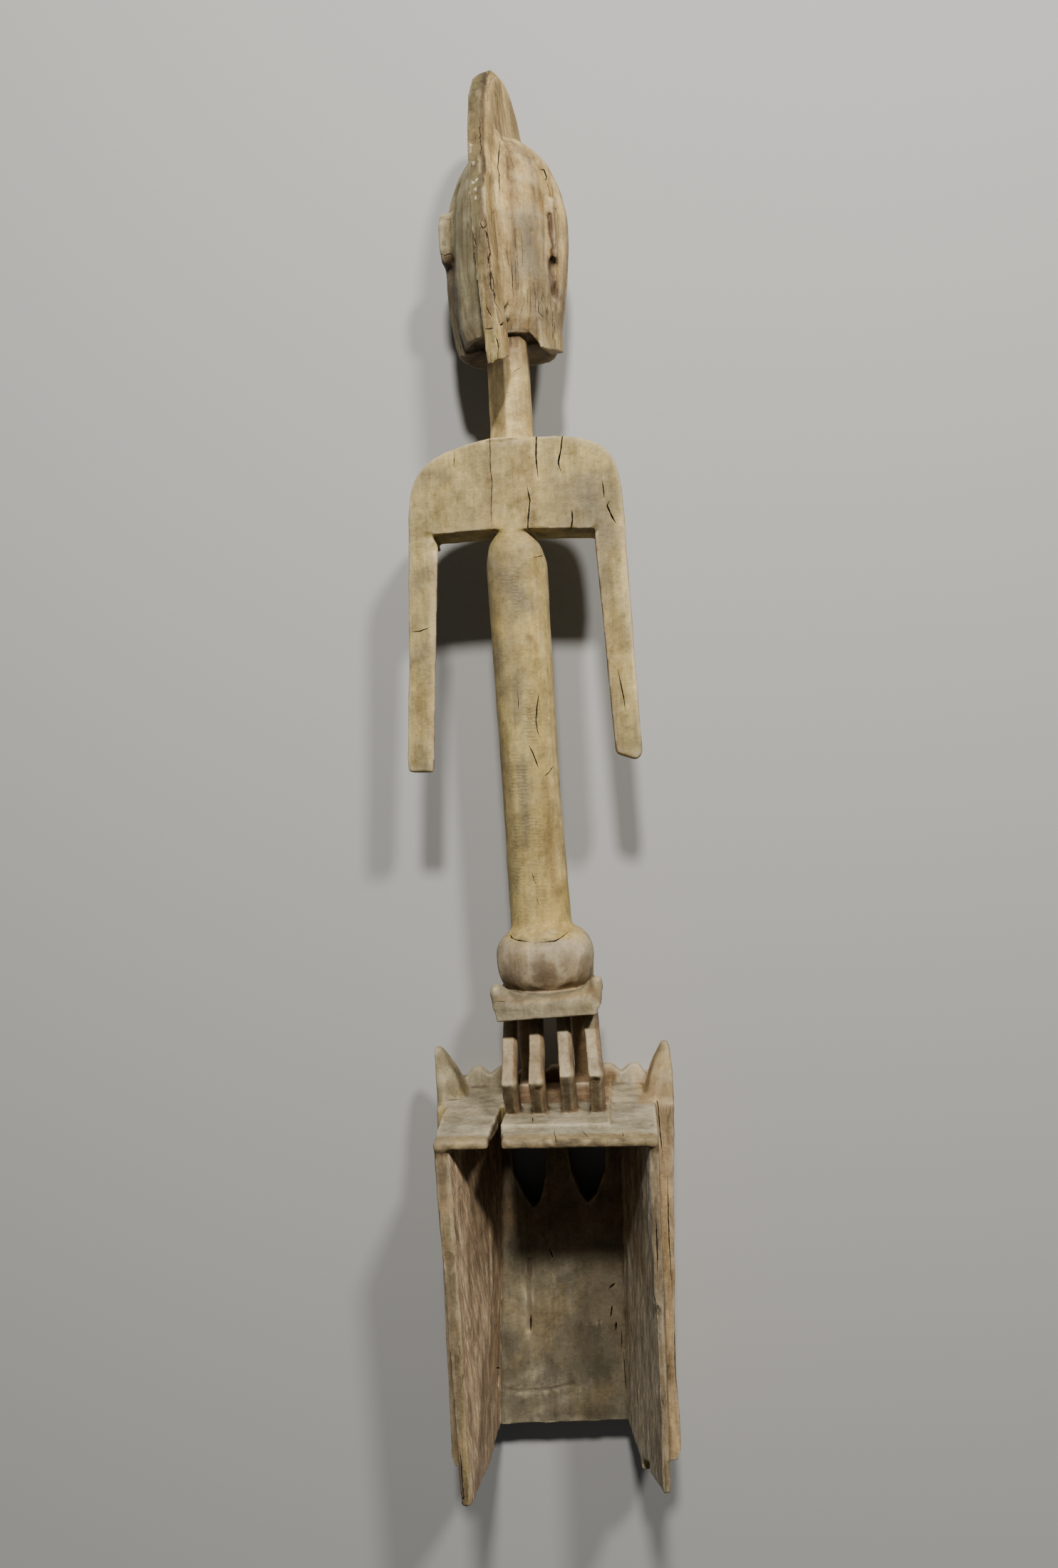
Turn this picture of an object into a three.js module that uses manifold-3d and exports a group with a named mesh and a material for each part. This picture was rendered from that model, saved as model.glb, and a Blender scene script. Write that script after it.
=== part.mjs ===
// A carved wooden mask crowned by a seated woman, cut whole from one log. Millimetres.
// It lies on its face, as on a table: X runs across it, Y from the mask box up to the woman's
// head, Z from the face up to the open back. Heights in Y are counted from the top plate of the
// box, and the last lines move the origin to the middle of the underside.
import * as THREE from "three";
import { mergeVertices } from "three/addons/utils/BufferGeometryUtils.js";
import Module from "manifold-3d";

// The mask box. Its two sides differ, because the carver worked by eye.
const BOX_LENGTH = 324; // top plate to the lower edge of the face
const BOX_DEPTH = 205; // face to the back edge of the top plate
const BLOCK_DEPTH = 103; // the solid face block with its side flanges ends here
const BLOCK_LEFT = -102;
const BLOCK_RIGHT = 105;
const WALL_DEPTH = 201; // back edge of the side walls
const PLATE_THICK = 8; // top plate at its back edge
const PANEL_DEPTH = 38; // inner side of the face panel
const CHANNEL_DEPTH = 22; // floor of the eye channels
const COMB_TEETH = 7;
const COMB_PITCH = 24.6;
const HORN_HEIGHT = 43.5;
// The stool and the woman.
const STOOL_LEFT = -36;
const STOOL_RIGHT = 54;
const STOOL_BACK = 175;
const BASE_THICK = 3;
const POST_WIDTH = 12;
const SEAT_UNDERSIDE = 87;
const SEAT_BACK = 165;
const HIP_MIDDLE = [2.5, 128, 108];
const HIP_RADIUS = 43.5;
const HIP_TILT = THREE.MathUtils.degToRad(3);
const SHOULDER_UNDERSIDE = 503;
const SHOULDER_TOP = 582;
const SHOULDER_FRONT = 80;
const BODY_BACK = 125;
const ARM_END = 297.5;
const ARM_FRONT = 97;
const CHIN = 671; // lower end of the face
const SKULL_FOOT = 674; // lower end of the skull behind it
const HEAD_AXIS = [-6, 82]; // X and Z of the head's middle
const HEAD_TURN = THREE.MathUtils.degToRad(10);
const CREST_TURN = THREE.MathUtils.degToRad(17);
const CREST_LEAN = THREE.MathUtils.degToRad(5);
const CREST_WIDTH = 14;
const ROUND = 28; // points in the section of a round limb
const THIN_ROUND = 16; // and in that of a thin one
const SHOULDER_STEPS = 56; // along the outline of the shoulders
const WELD = 0.001; // corners closer than this are one
const PAST = 10; // how far a cut runs past the wood

const wasm = await Module();
wasm.setup();

// A closed geometry as a solid that can be joined and cut. A skin that came out facing inwards,
// as the mirror image of another does, is turned round.
function solid(geometry) {
  const bare = geometry.index ? geometry.toNonIndexed() : geometry.clone();
  bare.deleteAttribute("normal");
  bare.deleteAttribute("uv");
  const merged = mergeVertices(bare, WELD);
  const vertProperties = merged.attributes.position.array;
  const build = (triVerts) =>
    new wasm.Manifold(new wasm.Mesh({ numProp: 3, vertProperties, triVerts }));
  const corners = Uint32Array.from(merged.index.array);
  const made = build(corners);
  return made.volume() > 0 ? made : build(corners.reverse());
}

function geometryOf(made) {
  const mesh = made.getMesh();
  const geometry = new THREE.BufferGeometry();
  geometry.setAttribute("position", new THREE.BufferAttribute(mesh.vertProperties, 3));
  geometry.setIndex(new THREE.BufferAttribute(mesh.triVerts, 1));
  return geometry;
}

const moved = (made, matrix) => solid(geometryOf(made).applyMatrix4(matrix));
const join = (parts) => parts.reduce((whole, part) => whole.add(part));

// Rings of points joined into a closed skin. Each ring turns right-handed about their way.
function loft(rings) {
  const count = rings[0].length;
  const last = (rings.length - 1) * count;
  const faces = [];
  for (let start = 0; start < last; start += count) {
    for (let i = 0; i < count; i += 1) {
      const a = start + i;
      const b = start + ((i + 1) % count);
      faces.push(a, b, b + count, a, b + count, a + count);
    }
  }
  for (let i = 1; i + 1 < count; i += 1) {
    faces.push(0, i + 1, i, last, last + i, last + i + 1);
  }
  const geometry = new THREE.BufferGeometry();
  geometry.setAttribute("position", new THREE.Float32BufferAttribute(rings.flat(2), 3));
  geometry.setIndex(faces);
  return solid(geometry);
}

// A level ring at height y. An exponent of 2 gives an ellipse, and more squares it off.
function ring(y, [x, z], half, back, front = back, exponent = 2, count = ROUND) {
  const soften = (value) => Math.sign(value) * Math.abs(value) ** (2 / exponent);
  return Array.from({ length: count }, (_, i) => {
    const angle = (i / count) * 2 * Math.PI;
    const depth = soften(Math.cos(angle));
    return [x + half * soften(Math.sin(angle)), y, z + depth * (depth > 0 ? back : front)];
  });
}

// Corners in X and Y at each of two or more depths, joined by flat sides.
const wedge = (...layers) => loft(layers.map(([z, corners]) => corners.map(([x, y]) => [x, y, z])));

// An outline in X and Y, pushed from one depth to another.
function slab(points, from, to) {
  const shape = new THREE.Shape(points.map(([x, y]) => new THREE.Vector2(x, y)));
  const geometry = new THREE.ExtrudeGeometry(shape, { depth: to - from, bevelEnabled: false });
  return solid(geometry.translate(0, 0, from));
}

// A side outline in Z and Y, pushed across from one x to another.
function sidePiece(points, from, to) {
  const shape = new THREE.Shape(points.map(([z, y]) => new THREE.Vector2(-z, y)));
  const geometry = new THREE.ExtrudeGeometry(shape, { depth: to - from, bevelEnabled: false });
  return solid(geometry.translate(0, 0, from).rotateY(Math.PI / 2));
}

// A plan outline in X and Z, pushed up from one height to another.
function planPiece(points, from, to) {
  const shape = new THREE.Shape(points.map(([x, z]) => new THREE.Vector2(x, z)));
  const geometry = new THREE.ExtrudeGeometry(shape, { depth: to - from, bevelEnabled: false });
  return solid(geometry.rotateX(Math.PI / 2).translate(0, to, 0));
}

// A smooth line through a few points.
function smoothLine(points, steps) {
  const curve = new THREE.SplineCurve(points.map(([x, y]) => new THREE.Vector2(x, y)));
  return curve.getPoints(steps).map(({ x, y }) => [x, y]);
}

function block(low, high) {
  const size = high.map((value, axis) => value - low[axis]);
  const geometry = new THREE.BoxGeometry(...size);
  return solid(geometry.translate(...low.map((value, axis) => value + size[axis] / 2)));
}

// Face block, top plate and two long side walls, whose lower back corners are cut off.
function boxBody() {
  const foot = -BOX_LENGTH;
  const faceBlock = slab(
    [
      [BLOCK_LEFT + 3, foot - 1], [88, foot + 5], [BLOCK_RIGHT - 6, foot + 5],
      [BLOCK_RIGHT - 2, foot + 14], [BLOCK_RIGHT - 4, foot + 90], [BLOCK_RIGHT + 1, -80],
      [BLOCK_RIGHT + 5, -2], [BLOCK_RIGHT - 12, 0], [BLOCK_LEFT + 9, 0], [BLOCK_LEFT, -2],
      [BLOCK_LEFT, foot + 8],
    ],
    0, BLOCK_DEPTH,
  );
  const inBlock = BLOCK_DEPTH - 5; // the walls are rooted in the block
  const leftWall = wedge(
    [inBlock, [[-84, foot], [-60, foot], [-60, -1], [-92, -1]]],
    [WALL_DEPTH, [[-77.5, foot], [-60, foot], [-60, -1], [-88.5, -1]]],
  );
  const rightWall = wedge(
    [inBlock, [[60, foot], [92, foot], [93, -1], [60, -1]]],
    [WALL_DEPTH, [[60, foot], [89.5, foot], [92.5, -1], [60, -1]]],
  );
  const topPlate = block([-89, -PLATE_THICK, inBlock], [92, 0, BOX_DEPTH]);
  const plateRoot = wedge(
    [inBlock, [[-92, -16], [92, -16], [93, 0], [-92.5, 0]]],
    [BOX_DEPTH - 30, [[-89, -11], [92, -11], [92.3, 0], [-90, 0]]],
  );
  const below = foot - 16;
  const behind = BOX_DEPTH + PAST;
  const cutLeft = sidePiece(
    [
      [90, below], [behind, below], [behind, -292], [BOX_DEPTH, -296], [165, -304], [122, -316],
      [90, -322],
    ],
    BLOCK_LEFT + 3, 0,
  );
  // The right one has a step where the wood broke away.
  const cutRight = sidePiece(
    [
      [108, below], [behind, below], [behind, -280], [BOX_DEPTH, -285], [172, -296], [141, -306],
      [141, -298], [112, -312], [108, -318],
    ],
    0, BLOCK_RIGHT - 6,
  );
  const walls = join([leftWall, rightWall]).subtract(join([cutLeft, cutRight]));
  return join([faceBlock, walls, topPlate, plateRoot]);
}

// The hollow for the wearer's head, open behind and below.
function headHollow() {
  const deep = -BOX_LENGTH - PAST;
  const top = -PLATE_THICK + 1;
  return wedge(
    [PANEL_DEPTH, [[-66, deep], [56, deep], [62, -20], [-49, -20]]],
    [BOX_DEPTH + PAST, [[-72.5, deep], [87.5, deep], [87.6, top], [-79, top]]],
  );
}

// Two upright channels in the face and the pointed eye holes at their heads.
function eyeCuts() {
  const brow = -46;
  const foot = -284;
  const eyes = [
    {
      channel: [-80, -6],
      corners: [[-43, -52], [-42, -84], [-33, -106], [-24, -119], [-18, -112], [-11, -86], [-9, -52]],
    },
    {
      channel: [8, 82],
      corners: [[10, -52], [13, -84], [20, -104], [27, -115], [36, -106], [45, -84], [47, -52]],
    },
  ];
  // The sides of a channel slope in by the margin.
  const floor = (left, right, margin) => [
    [left + margin, foot + margin], [right - margin, foot + margin],
    [right - margin, brow - margin], [left + margin, brow - margin],
  ];
  return eyes.flatMap(({ channel: [left, right], corners }) => [
    wedge([-1, floor(left, right, 0)], [CHANNEL_DEPTH, floor(left, right, 3)]),
    slab(corners, CHANNEL_DEPTH - 4, PANEL_DEPTH + 4),
  ]);
}

// The toothed comb that crosses the top plate behind the brow.
function comb() {
  const first = -71;
  const halfTip = 3.5;
  const tip = 18;
  const notch = 10.5;
  const outline = [[-84, -2], [-84, 7]];
  for (let tooth = 0; tooth < COMB_TEETH; tooth += 1) {
    const middle = first + tooth * COMB_PITCH;
    outline.push([middle - halfTip, tip], [middle + halfTip, tip]);
    if (tooth < COMB_TEETH - 1) outline.push([middle + COMB_PITCH / 2, notch]);
  }
  outline.push([88, 6], [88, -2]);
  return slab(outline, 37, 48);
}

// A horn stands on each front corner of the box: a broad foot, a ridged back and a blunt tip.
function horns() {
  const heights = [-3, 20, HORN_HEIGHT - 4, HORN_HEIGHT];
  const shapes = [
    { outer: [-102, -103, -106.5, -106], ridge: [-94, -96, -102, -103], inner: [-76, -86, -98, -101] },
    { outer: [110, 110.5, 109, 107], ridge: [94, 98, 103.5, 104], inner: [84, 91, 100, 102] },
  ];
  const front = [50, 53, 57, 60];
  const back = [103, 92, 76, 70];
  const shoulder = [90, 84, 70, 66];
  return shapes.map(({ outer, ridge, inner }) => {
    const rings = heights.map((y, i) => [
      [outer[i], y, front[i]],
      [inner[i], y, front[i]],
      [inner[i], y, shoulder[i]],
      [ridge[i], y, back[i]],
      [outer[i], y, shoulder[i] + 6],
    ]);
    return loft(rings);
  });
}

// The old split in the top plate, closed in front and open at the back edge.
function plateSplit() {
  const outline = [
    [-43, 106], [-40, 110], [-36.5, 140], [-35.8, STOOL_BACK], [-33, 210], [-42, 210],
    [-44.5, 185], [-43.5, 150],
  ];
  return planPiece(outline, -30, 2);
}

// The stool: a thin base, four bent posts and a seat dished between raised back corners.
function stool() {
  const base = block([STOOL_LEFT, -2, 42], [STOOL_RIGHT, BASE_THICK, STOOL_BACK]);
  const planed = [3, 6]; // across and along
  const posts = [
    { foot: -28.5, top: -28.7, knee: 35, lean: 124 },
    { foot: -5.5, top: -6, knee: 36, lean: 129 },
    { foot: 20, top: 17, knee: 41, lean: 133 },
    { foot: 44.3, top: 40, knee: 41, lean: 137 },
  ].map(({ foot, top, knee, lean }) => {
    const half = POST_WIDTH / 2;
    // The right back edge of each post is planed off.
    const level = (x, y, front, back) => [
      [x - half, y, front], [x - half, y, back], [x + half - planed[0], y, back],
      [x + half, y, back - planed[1]], [x + half, y, front],
    ];
    return loft([
      level(foot, 1, 122, 146), level(foot, knee, 147, 171), level(top, SEAT_UNDERSIDE + 4, 110, lean),
    ]);
  });
  // From front to back the seat's ends rise towards the back corners.
  const seatLayer = (z, rise) => [z, [
    [-36, SEAT_UNDERSIDE - 1], [47, SEAT_UNDERSIDE + 3], [50.5, 104], [51.5, 104 + rise], [46, 104 + rise],
    [36, 102 + rise / 2], [22, 103 + rise / 5], [2, 104], [-18, 104], [-29, 102 + rise / 2],
    [-35, 102 + rise * 0.8], [-40.5, 102 + rise * 0.8], [-39, 100],
  ]];
  const seat = wedge(seatLayer(74, 2), seatLayer(132, 4), seatLayer(150, 17), seatLayer(SEAT_BACK, 17));
  // The upper back edge is planed off at a slant.
  const slant = sidePiece([[152, 122], [SEAT_BACK + 5, 97], [SEAT_BACK + 5, 122]], -34, 44);
  return join([base, ...posts, seat.subtract(slant)]);
}

// Hips, legs, trunk and neck. The trunk sways a little to the left as it rises.
function body() {
  // Each row is a height on the hips and the share of the full radius there.
  const hipSection = [
    [-28, 0.5], [-24, 0.7], [-16, 0.9], [-6, 0.985], [3, 1], [11, 0.985], [18, 0.93], [23, 0.84],
    [27, 0.7], [30, 0.5],
  ];
  const hips = moved(
    loft(hipSection.map(([y, share]) => ring(y, [0, 0], HIP_RADIUS * share, 41 * share))),
    new THREE.Matrix4().makeTranslation(...HIP_MIDDLE).multiply(new THREE.Matrix4().makeRotationZ(HIP_TILT)),
  );
  const trunkRing = (y, x, half, depth = half) =>
    ring(y, [x, BODY_BACK - depth], half, depth, depth, 2.4);
  const trunk = loft([
    trunkRing(147, 0, 27), trunkRing(190, -1.2, 26.5), trunkRing(284, -4, 25.5),
    trunkRing(478, -7.8, 27), trunkRing(492, -8.5, 23, 25), trunkRing(505, -9.5, 16, 25),
  ]);
  // The neck is squared. Its left side slants away from a ridge behind.
  const neckRing = (y, right, slant, ridge) => [
    [-27, y, 80], [right, y, 80], [right, y, 108], [right - 5, y, ridge - 1.5], [-10, y, ridge],
    [-27, y, slant],
  ];
  const neck = loft([
    neckRing(SHOULDER_TOP - 12, 13.5, 112, 119), neckRing(SHOULDER_TOP + 8, 11.8, 95, 117),
    neckRing(SHOULDER_TOP + 22, 11, 87, 116), neckRing(CHIN + 20, 9.5, 86, 116),
  ]);
  const thighOutline = [[104, 106], [104, 132], [62, 130], [50, 122], [50, 108], [62, 100]];
  const shinHalf = [[2, 9], [22, 8.5], [60, 11], [84, 11.5], [112, 10]];
  const legs = [-18, 31].flatMap((x) => {
    const thigh = sidePiece(thighOutline, x - 12, x + 12);
    const shin = loft(shinHalf.map(([y, half]) => ring(y, [x, 70], half, half, half, 2, THIN_ROUND)));
    const foot = block([x - 10, 0, 46], [x + 10, 14, 92]);
    return [thigh, shin, foot];
  });
  return join([hips, trunk, neck, ...legs]);
}

// Square shoulders and straight arms in one outline, with the breasts in front.
function shoulders() {
  const overShoulders = smoothLine([
    [91, 420], [89.6, 470], [88.5, 512], [86, 543], [78, 564], [62, 575.5], [38, SHOULDER_TOP - 1],
    [5, SHOULDER_TOP + 0.5], [-25, SHOULDER_TOP + 1], [-53, 577], [-77, 567], [-92.5, 550],
    [-98, 524], [-100.5, 475], [-104, 400],
  ], SHOULDER_STEPS);
  const outline = [
    [-109.5, ARM_END], [-86, ARM_END - 1], [-74, 492], [-80, SHOULDER_UNDERSIDE],
    [-26, SHOULDER_UNDERSIDE + 1], [6, SHOULDER_UNDERSIDE], [63, SHOULDER_UNDERSIDE - 3], [62.5, 490],
    [72.5, 306], [90, 300], [95, 305], ...overShoulders,
  ];
  const yoke = slab(outline, SHOULDER_FRONT, BODY_BACK);
  // The arms are thinner than the shoulders, most of all at the hands.
  const front = SHOULDER_FRONT - PAST;
  const relief = [
    [front, 280], [ARM_FRONT + 9, 280], [ARM_FRONT, 470], [SHOULDER_FRONT, 500], [front, 500],
  ];
  const reliefs = [[-130, -73], [63, 120]].map(([from, to]) => sidePiece(relief, from, to));
  // The inner side of the left arm slopes away towards the front.
  const innerSlope = loft([[-86, 290], [-73.8, 496]].map(([edge, y]) => [
    [edge, y, BODY_BACK], [edge + PAST, y, BODY_BACK], [edge + PAST, y, front], [edge - 11, y, front],
  ]));
  const breastSection = [[92, 24, 530], [70, 19, 526], [50, 10, 522], [44, 4, 521]];
  const breasts = [-38, 24].map((x) => loft(breastSection.map(([z, radius, y]) =>
    ring(0, [0, 0], radius, radius, radius, 2, THIN_ROUND)
      .map(([across, , along]) => [x + across, y - along, z]))));
  return join([yoke.subtract(join([...reliefs, innerSlope])), ...breasts]);
}

// The head: a broad face with a narrower skull behind it, ears, and a crest from front to back.
function head() {
  // Each row is a height and the half width there. The jaw sways to the left.
  const faceHalf = [
    [CHIN, 44], [682, 48], [705, 52], [735, 55], [765, 56], [790, 55], [812, 50.5], [832, 41.5],
    [847, 29], [858, 14],
  ];
  const skullHalf = [
    [SKULL_FOOT, 38], [690, 43], [730, 46], [775, 46.5], [805, 43], [828, 35.5], [843, 26.5],
    [854, 14],
  ];
  const sway = (y) => -3.5 * Math.min(1, Math.max(0, (790 - y) / 90));
  // The face is deepest at the cheeks and falls back to the chin and the brow.
  const faceDepth = (y) => 50 - 26 * ((y - 740) / 120) ** 2;
  const face = loft(faceHalf.map(([y, half]) => ring(y, [sway(y), 0], half, 12, faceDepth(y), 2.8)));
  const skull = loft(skullHalf.map(([y, half]) => ring(y, [sway(y) / 2, 0], half, half, 20, 2.2)));
  const leftEar = sidePiece(
    [[-4, 752], [14, 752], [20, 764], [20, 788], [14, 799], [-4, 799]], -57.5, -40,
  );
  const rightEar = sidePiece([[0, 741], [16, 741], [20, 751], [20, 786], [16, 796], [0, 796]], 30, 49);
  // The nose reaches as far forward as the face of the box, so the head rests on it.
  const tip = -HEAD_AXIS[1];
  const nose = loft([
    [[-14, 716, -40], [14, 716, -40], [12, 716, tip + 6], [-12, 716, tip + 6]],
    [[-8, 736, -40], [8, 736, -40], [7, 736, tip], [-7, 736, tip]],
    [[-5, 752, -40], [5, 752, -40], [5, 752, tip], [-5, 752, tip]],
    [[-4, 812, -30], [4, 812, -30], [4, 812, -46], [-4, 812, -46]],
  ]);
  const eyes = [-25, 25].map((x) => wedge(
    [-58, [[x - 8, 772], [x, 768], [x + 8, 772], [x, 776]]],
    [-38, [[x - 15, 772], [x, 763], [x + 15, 772], [x, 781]]],
  ));
  const mouth = block([-15, 686, -58], [15, 698, -30]);
  // Behind the right jaw the wood hangs lower than over the neck.
  const lobe = loft([[660, 34, 9], [664, 33, 7], [675, 25, 4], [700, 22, 0]].map(([y, left, cut]) => [
    [left, y + cut, -14], [46, y + cut, -14], [45, y + cut / 2, 6], [40, y, 24], [36, y, 31],
    [left, y, 31],
  ]));
  const turned = moved(
    join([face, skull, lobe, leftEar, rightEar, nose, ...eyes, mouth]),
    new THREE.Matrix4().makeRotationY(-HEAD_TURN),
  );
  const place = new THREE.Matrix4().makeTranslation(HEAD_AXIS[0], 0, HEAD_AXIS[1]);
  return join([moved(turned, place), crest()]);
}

// The crest is a flat plate that leans to the left and looks past the left shoulder.
function crest() {
  const side = [
    [52, 650], [73, 640], [74, 700], [68, 765], [59, 812], [48, 852], [34, 888], [20, 909], [4, 922],
    [-12, 926], [-27, 922], [-41, 905], [-50, 876], [-50, 830], [-20, 800], [30, 720], [52, 690],
  ];
  const pivot = 740;
  // Towards its tip the right side is thicker, all but a strip along the back.
  const swelling = sidePiece(
    [
      [20, 800], [52, 806], [46, 838], [36, 868], [24, 894], [12, 908], [-2, 919], [-16, 922],
      [-31, 915], [-44, 897], [-52, 868], [-50, 832],
    ],
    0, CREST_WIDTH / 2 + 3.5,
  );
  const plate = sidePiece(side, -CREST_WIDTH / 2, CREST_WIDTH / 2).add(swelling);
  const place = new THREE.Matrix4()
    .makeTranslation(-1.5, pivot, HEAD_AXIS[1])
    .multiply(new THREE.Matrix4().makeRotationZ(CREST_LEAN))
    .multiply(new THREE.Matrix4().makeRotationY(-CREST_TURN))
    .multiply(new THREE.Matrix4().makeTranslation(0, -pivot, 0));
  return moved(plate, place);
}

const box = boxBody().subtract(join([headHollow(), ...eyeCuts(), plateSplit()]));
const carved = geometryOf(join([box, comb(), ...horns(), stool(), body(), shoulders(), head()]));
carved.computeBoundingBox();
const middle = carved.boundingBox.getCenter(new THREE.Vector3());
carved.translate(-middle.x, -middle.y, -carved.boundingBox.min.z);
const skin = carved.toNonIndexed();
skin.computeVertexNormals();

const wood = new THREE.MeshStandardMaterial({ color: 0x9c8662, roughness: 0.85, metalness: 0 });
const mask = new THREE.Mesh(skin, wood);
mask.name = "satimbe_mask";
const group = new THREE.Group();
group.add(mask);

export default group;
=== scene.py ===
# %% [markdown]
# A carved wooden mask, 1.25 m long, lies on its face on a pale table. A box that goes over the
# wearer's head carries two horns, a toothed comb and a stool, and on the stool sits a woman. The
# whole of it is cut from one log, so it is one piece here too. The solid model gives every
# dimension. This script copies that solid, turns it into a fine skin, wears its edges, cuts the
# tool marks and drying cracks into it, and gives it bare old wood.

# %% Load the solid model
import math

import bmesh
import bpy
import numpy as np
from mathutils import Matrix, Vector
from mathutils.bvhtree import BVHTree
from mathutils.kdtree import KDTree


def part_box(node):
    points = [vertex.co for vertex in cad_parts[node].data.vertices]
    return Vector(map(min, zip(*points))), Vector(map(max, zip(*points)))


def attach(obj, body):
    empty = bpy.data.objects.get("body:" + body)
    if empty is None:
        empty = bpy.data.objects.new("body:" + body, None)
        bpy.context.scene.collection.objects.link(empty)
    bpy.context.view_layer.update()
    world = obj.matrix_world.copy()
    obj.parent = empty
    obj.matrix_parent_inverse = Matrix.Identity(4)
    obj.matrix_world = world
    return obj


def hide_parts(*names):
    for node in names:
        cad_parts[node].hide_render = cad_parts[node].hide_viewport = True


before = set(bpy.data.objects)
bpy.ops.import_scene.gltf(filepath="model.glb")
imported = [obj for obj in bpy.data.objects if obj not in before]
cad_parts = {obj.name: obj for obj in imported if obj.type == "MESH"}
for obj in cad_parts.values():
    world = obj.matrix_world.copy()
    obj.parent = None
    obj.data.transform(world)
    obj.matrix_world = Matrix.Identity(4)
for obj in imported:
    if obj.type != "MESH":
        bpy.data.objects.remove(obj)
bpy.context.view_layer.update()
MM = 0.001  # one millimetre in the frame's metres
NODE = "satimbe_mask"
low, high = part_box(NODE)
print("solid model, mm:", [round((b - a) / MM) for a, b in zip(low, high)])

# %% [markdown]
# The camera hangs above the mask and looks nearly straight down, a little from the woman's left.
# Its place was worked out from the photograph: the vanishing point of the box's depth and the
# slope of its long edges give the turn, and the size of the box gives the height.

# %% Camera
CAMERA_PLACE = Vector((71.5, -8.59, 1108)) * MM
IMAGE = (1485, 2200)
FOCAL = 1600  # in pixels of the image
DEPTH_POINT = (865, 1080)  # where the edges that run straight down would meet
LONG_SLOPE = 0.045  # lean of the long edges in the image
SENSOR_WIDTH = 36  # mm

down = Vector(((DEPTH_POINT[0] - IMAGE[0] / 2) / FOCAL, (DEPTH_POINT[1] - IMAGE[1] / 2) / FOCAL, 1))
down.normalize()
along = Vector((-LONG_SLOPE, -1, 0))
along.z = -(along.x * down.x + along.y * down.y) / down.z
along.normalize()
across = along.cross(-down)
# Rows: the image's right, down and forward directions, each in the mask's X, Y and Z.
image_axes = Matrix((across, along, -down)).transposed()
right, image_down, forward = (Vector(row) for row in image_axes)
camera_data = bpy.data.cameras.new("camera")
camera_data.sensor_width = SENSOR_WIDTH
camera_data.lens = FOCAL / max(IMAGE) * SENSOR_WIDTH
camera = bpy.data.objects.new("camera", camera_data)
camera.matrix_world = Matrix.Translation(CAMERA_PLACE) @ Matrix(
    (right, -image_down, -forward)
).transposed().to_4x4()
bpy.context.scene.collection.objects.link(camera)
bpy.context.scene.camera = camera
print("camera at, m:", [round(v, 3) for v in camera.location], "lens", round(camera_data.lens, 2))

# %% [markdown]
# The light comes from beyond the woman's head, about forty degrees off the camera's line, as in
# the photograph: it throws the shadow of the top plate into the hollow. A second lamp stands
# further to the right, because the shadow on the neck has a half-dark band beside it there. A weak
# sky fills the shadows, and a pale floor lies under the mask.

# %% Floor
FLOOR_COLOUR = (0.42, 0.42, 0.4116)
FLOOR_ROUGHNESS = 0.9
FLOOR_HALF = 6  # metres


def plain(name, colour, roughness):
    """A simple material of one colour."""
    material = bpy.data.materials.new(name)
    material.use_nodes = True
    shader = material.node_tree.nodes["Principled BSDF"]
    shader.inputs["Base Color"].default_value = (*colour, 1)
    shader.inputs["Roughness"].default_value = roughness
    return material


corners = [(FLOOR_HALF * a, FLOOR_HALF * b, 0) for a, b in ((-1, -1), (1, -1), (1, 1), (-1, 1))]
floor_mesh = bpy.data.meshes.new("floor")
floor_mesh.from_pydata(corners, [], [(0, 1, 2, 3)])
floor = bpy.data.objects.new("floor", floor_mesh)
floor.data.materials.append(plain("floor_paper", FLOOR_COLOUR, FLOOR_ROUGHNESS))
bpy.context.scene.collection.objects.link(floor)
print("floor, m:", 2 * FLOOR_HALF)

# %% Light
KEY_WAY = Vector((0.05, 0.62, 0.78)).normalized()  # from the mask towards the lamp
KEY_POWER = 71
SIDE_WAY = Vector((0.36, 0.60, 0.72)).normalized()
SIDE_POWER = 48
LAMP_TARGET = Vector((0, 0, 0.1))
LAMP_DISTANCE = 2.6
LAMP_SIZE = 0.26
LAMP_COLOUR = (1, 0.96, 0.9)
SKY_COLOUR = (0.92, 0.96, 1, 1)
SKY_STRENGTH = 0.06


def lamp(name, way, power):
    """A round soft lamp that shines from a direction on to the mask."""
    data = bpy.data.lights.new(name, "AREA")
    data.shape = "DISK"
    data.size = LAMP_SIZE
    data.energy = power
    data.color = LAMP_COLOUR
    made = bpy.data.objects.new(name, data)
    made.location = LAMP_TARGET + way * LAMP_DISTANCE
    made.rotation_mode = "QUATERNION"
    made.rotation_quaternion = way.to_track_quat("Z", "Y")
    bpy.context.scene.collection.objects.link(made)
    print(name, "lamp at, m:", [round(v, 2) for v in made.location])


lamp("key", KEY_WAY, KEY_POWER)
lamp("side", SIDE_WAY, SIDE_POWER)
world = bpy.data.worlds.new("studio")
world.use_nodes = True
sky = world.node_tree.nodes["Background"]
sky.inputs["Color"].default_value = SKY_COLOUR
sky.inputs["Strength"].default_value = SKY_STRENGTH
bpy.context.scene.world = world
print("sky strength:", SKY_STRENGTH)

# %% [markdown]
# Places on the mask are given in the carver's millimetres: x from the middle of the box, y up from
# its top plate, z up from the table. One helper turns such a place into the frame's metres, and
# others read a whole mesh in those millimetres and write it back. A region is then named by simple
# limits along x, y and z, with a soft margin.

# %% Carver's millimetres
BOX_RIGHT = 110.5  # the solid's own right edge and lower end in these millimetres
BOX_FOOT = -325
HOME = np.array((high.x / MM - BOX_RIGHT, low.y / MM - BOX_FOOT, 0))


def place(*where):
    """A point in carver's millimetres as a vector in the frame's metres."""
    return Vector((np.array(where, float) + HOME) * MM)


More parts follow.
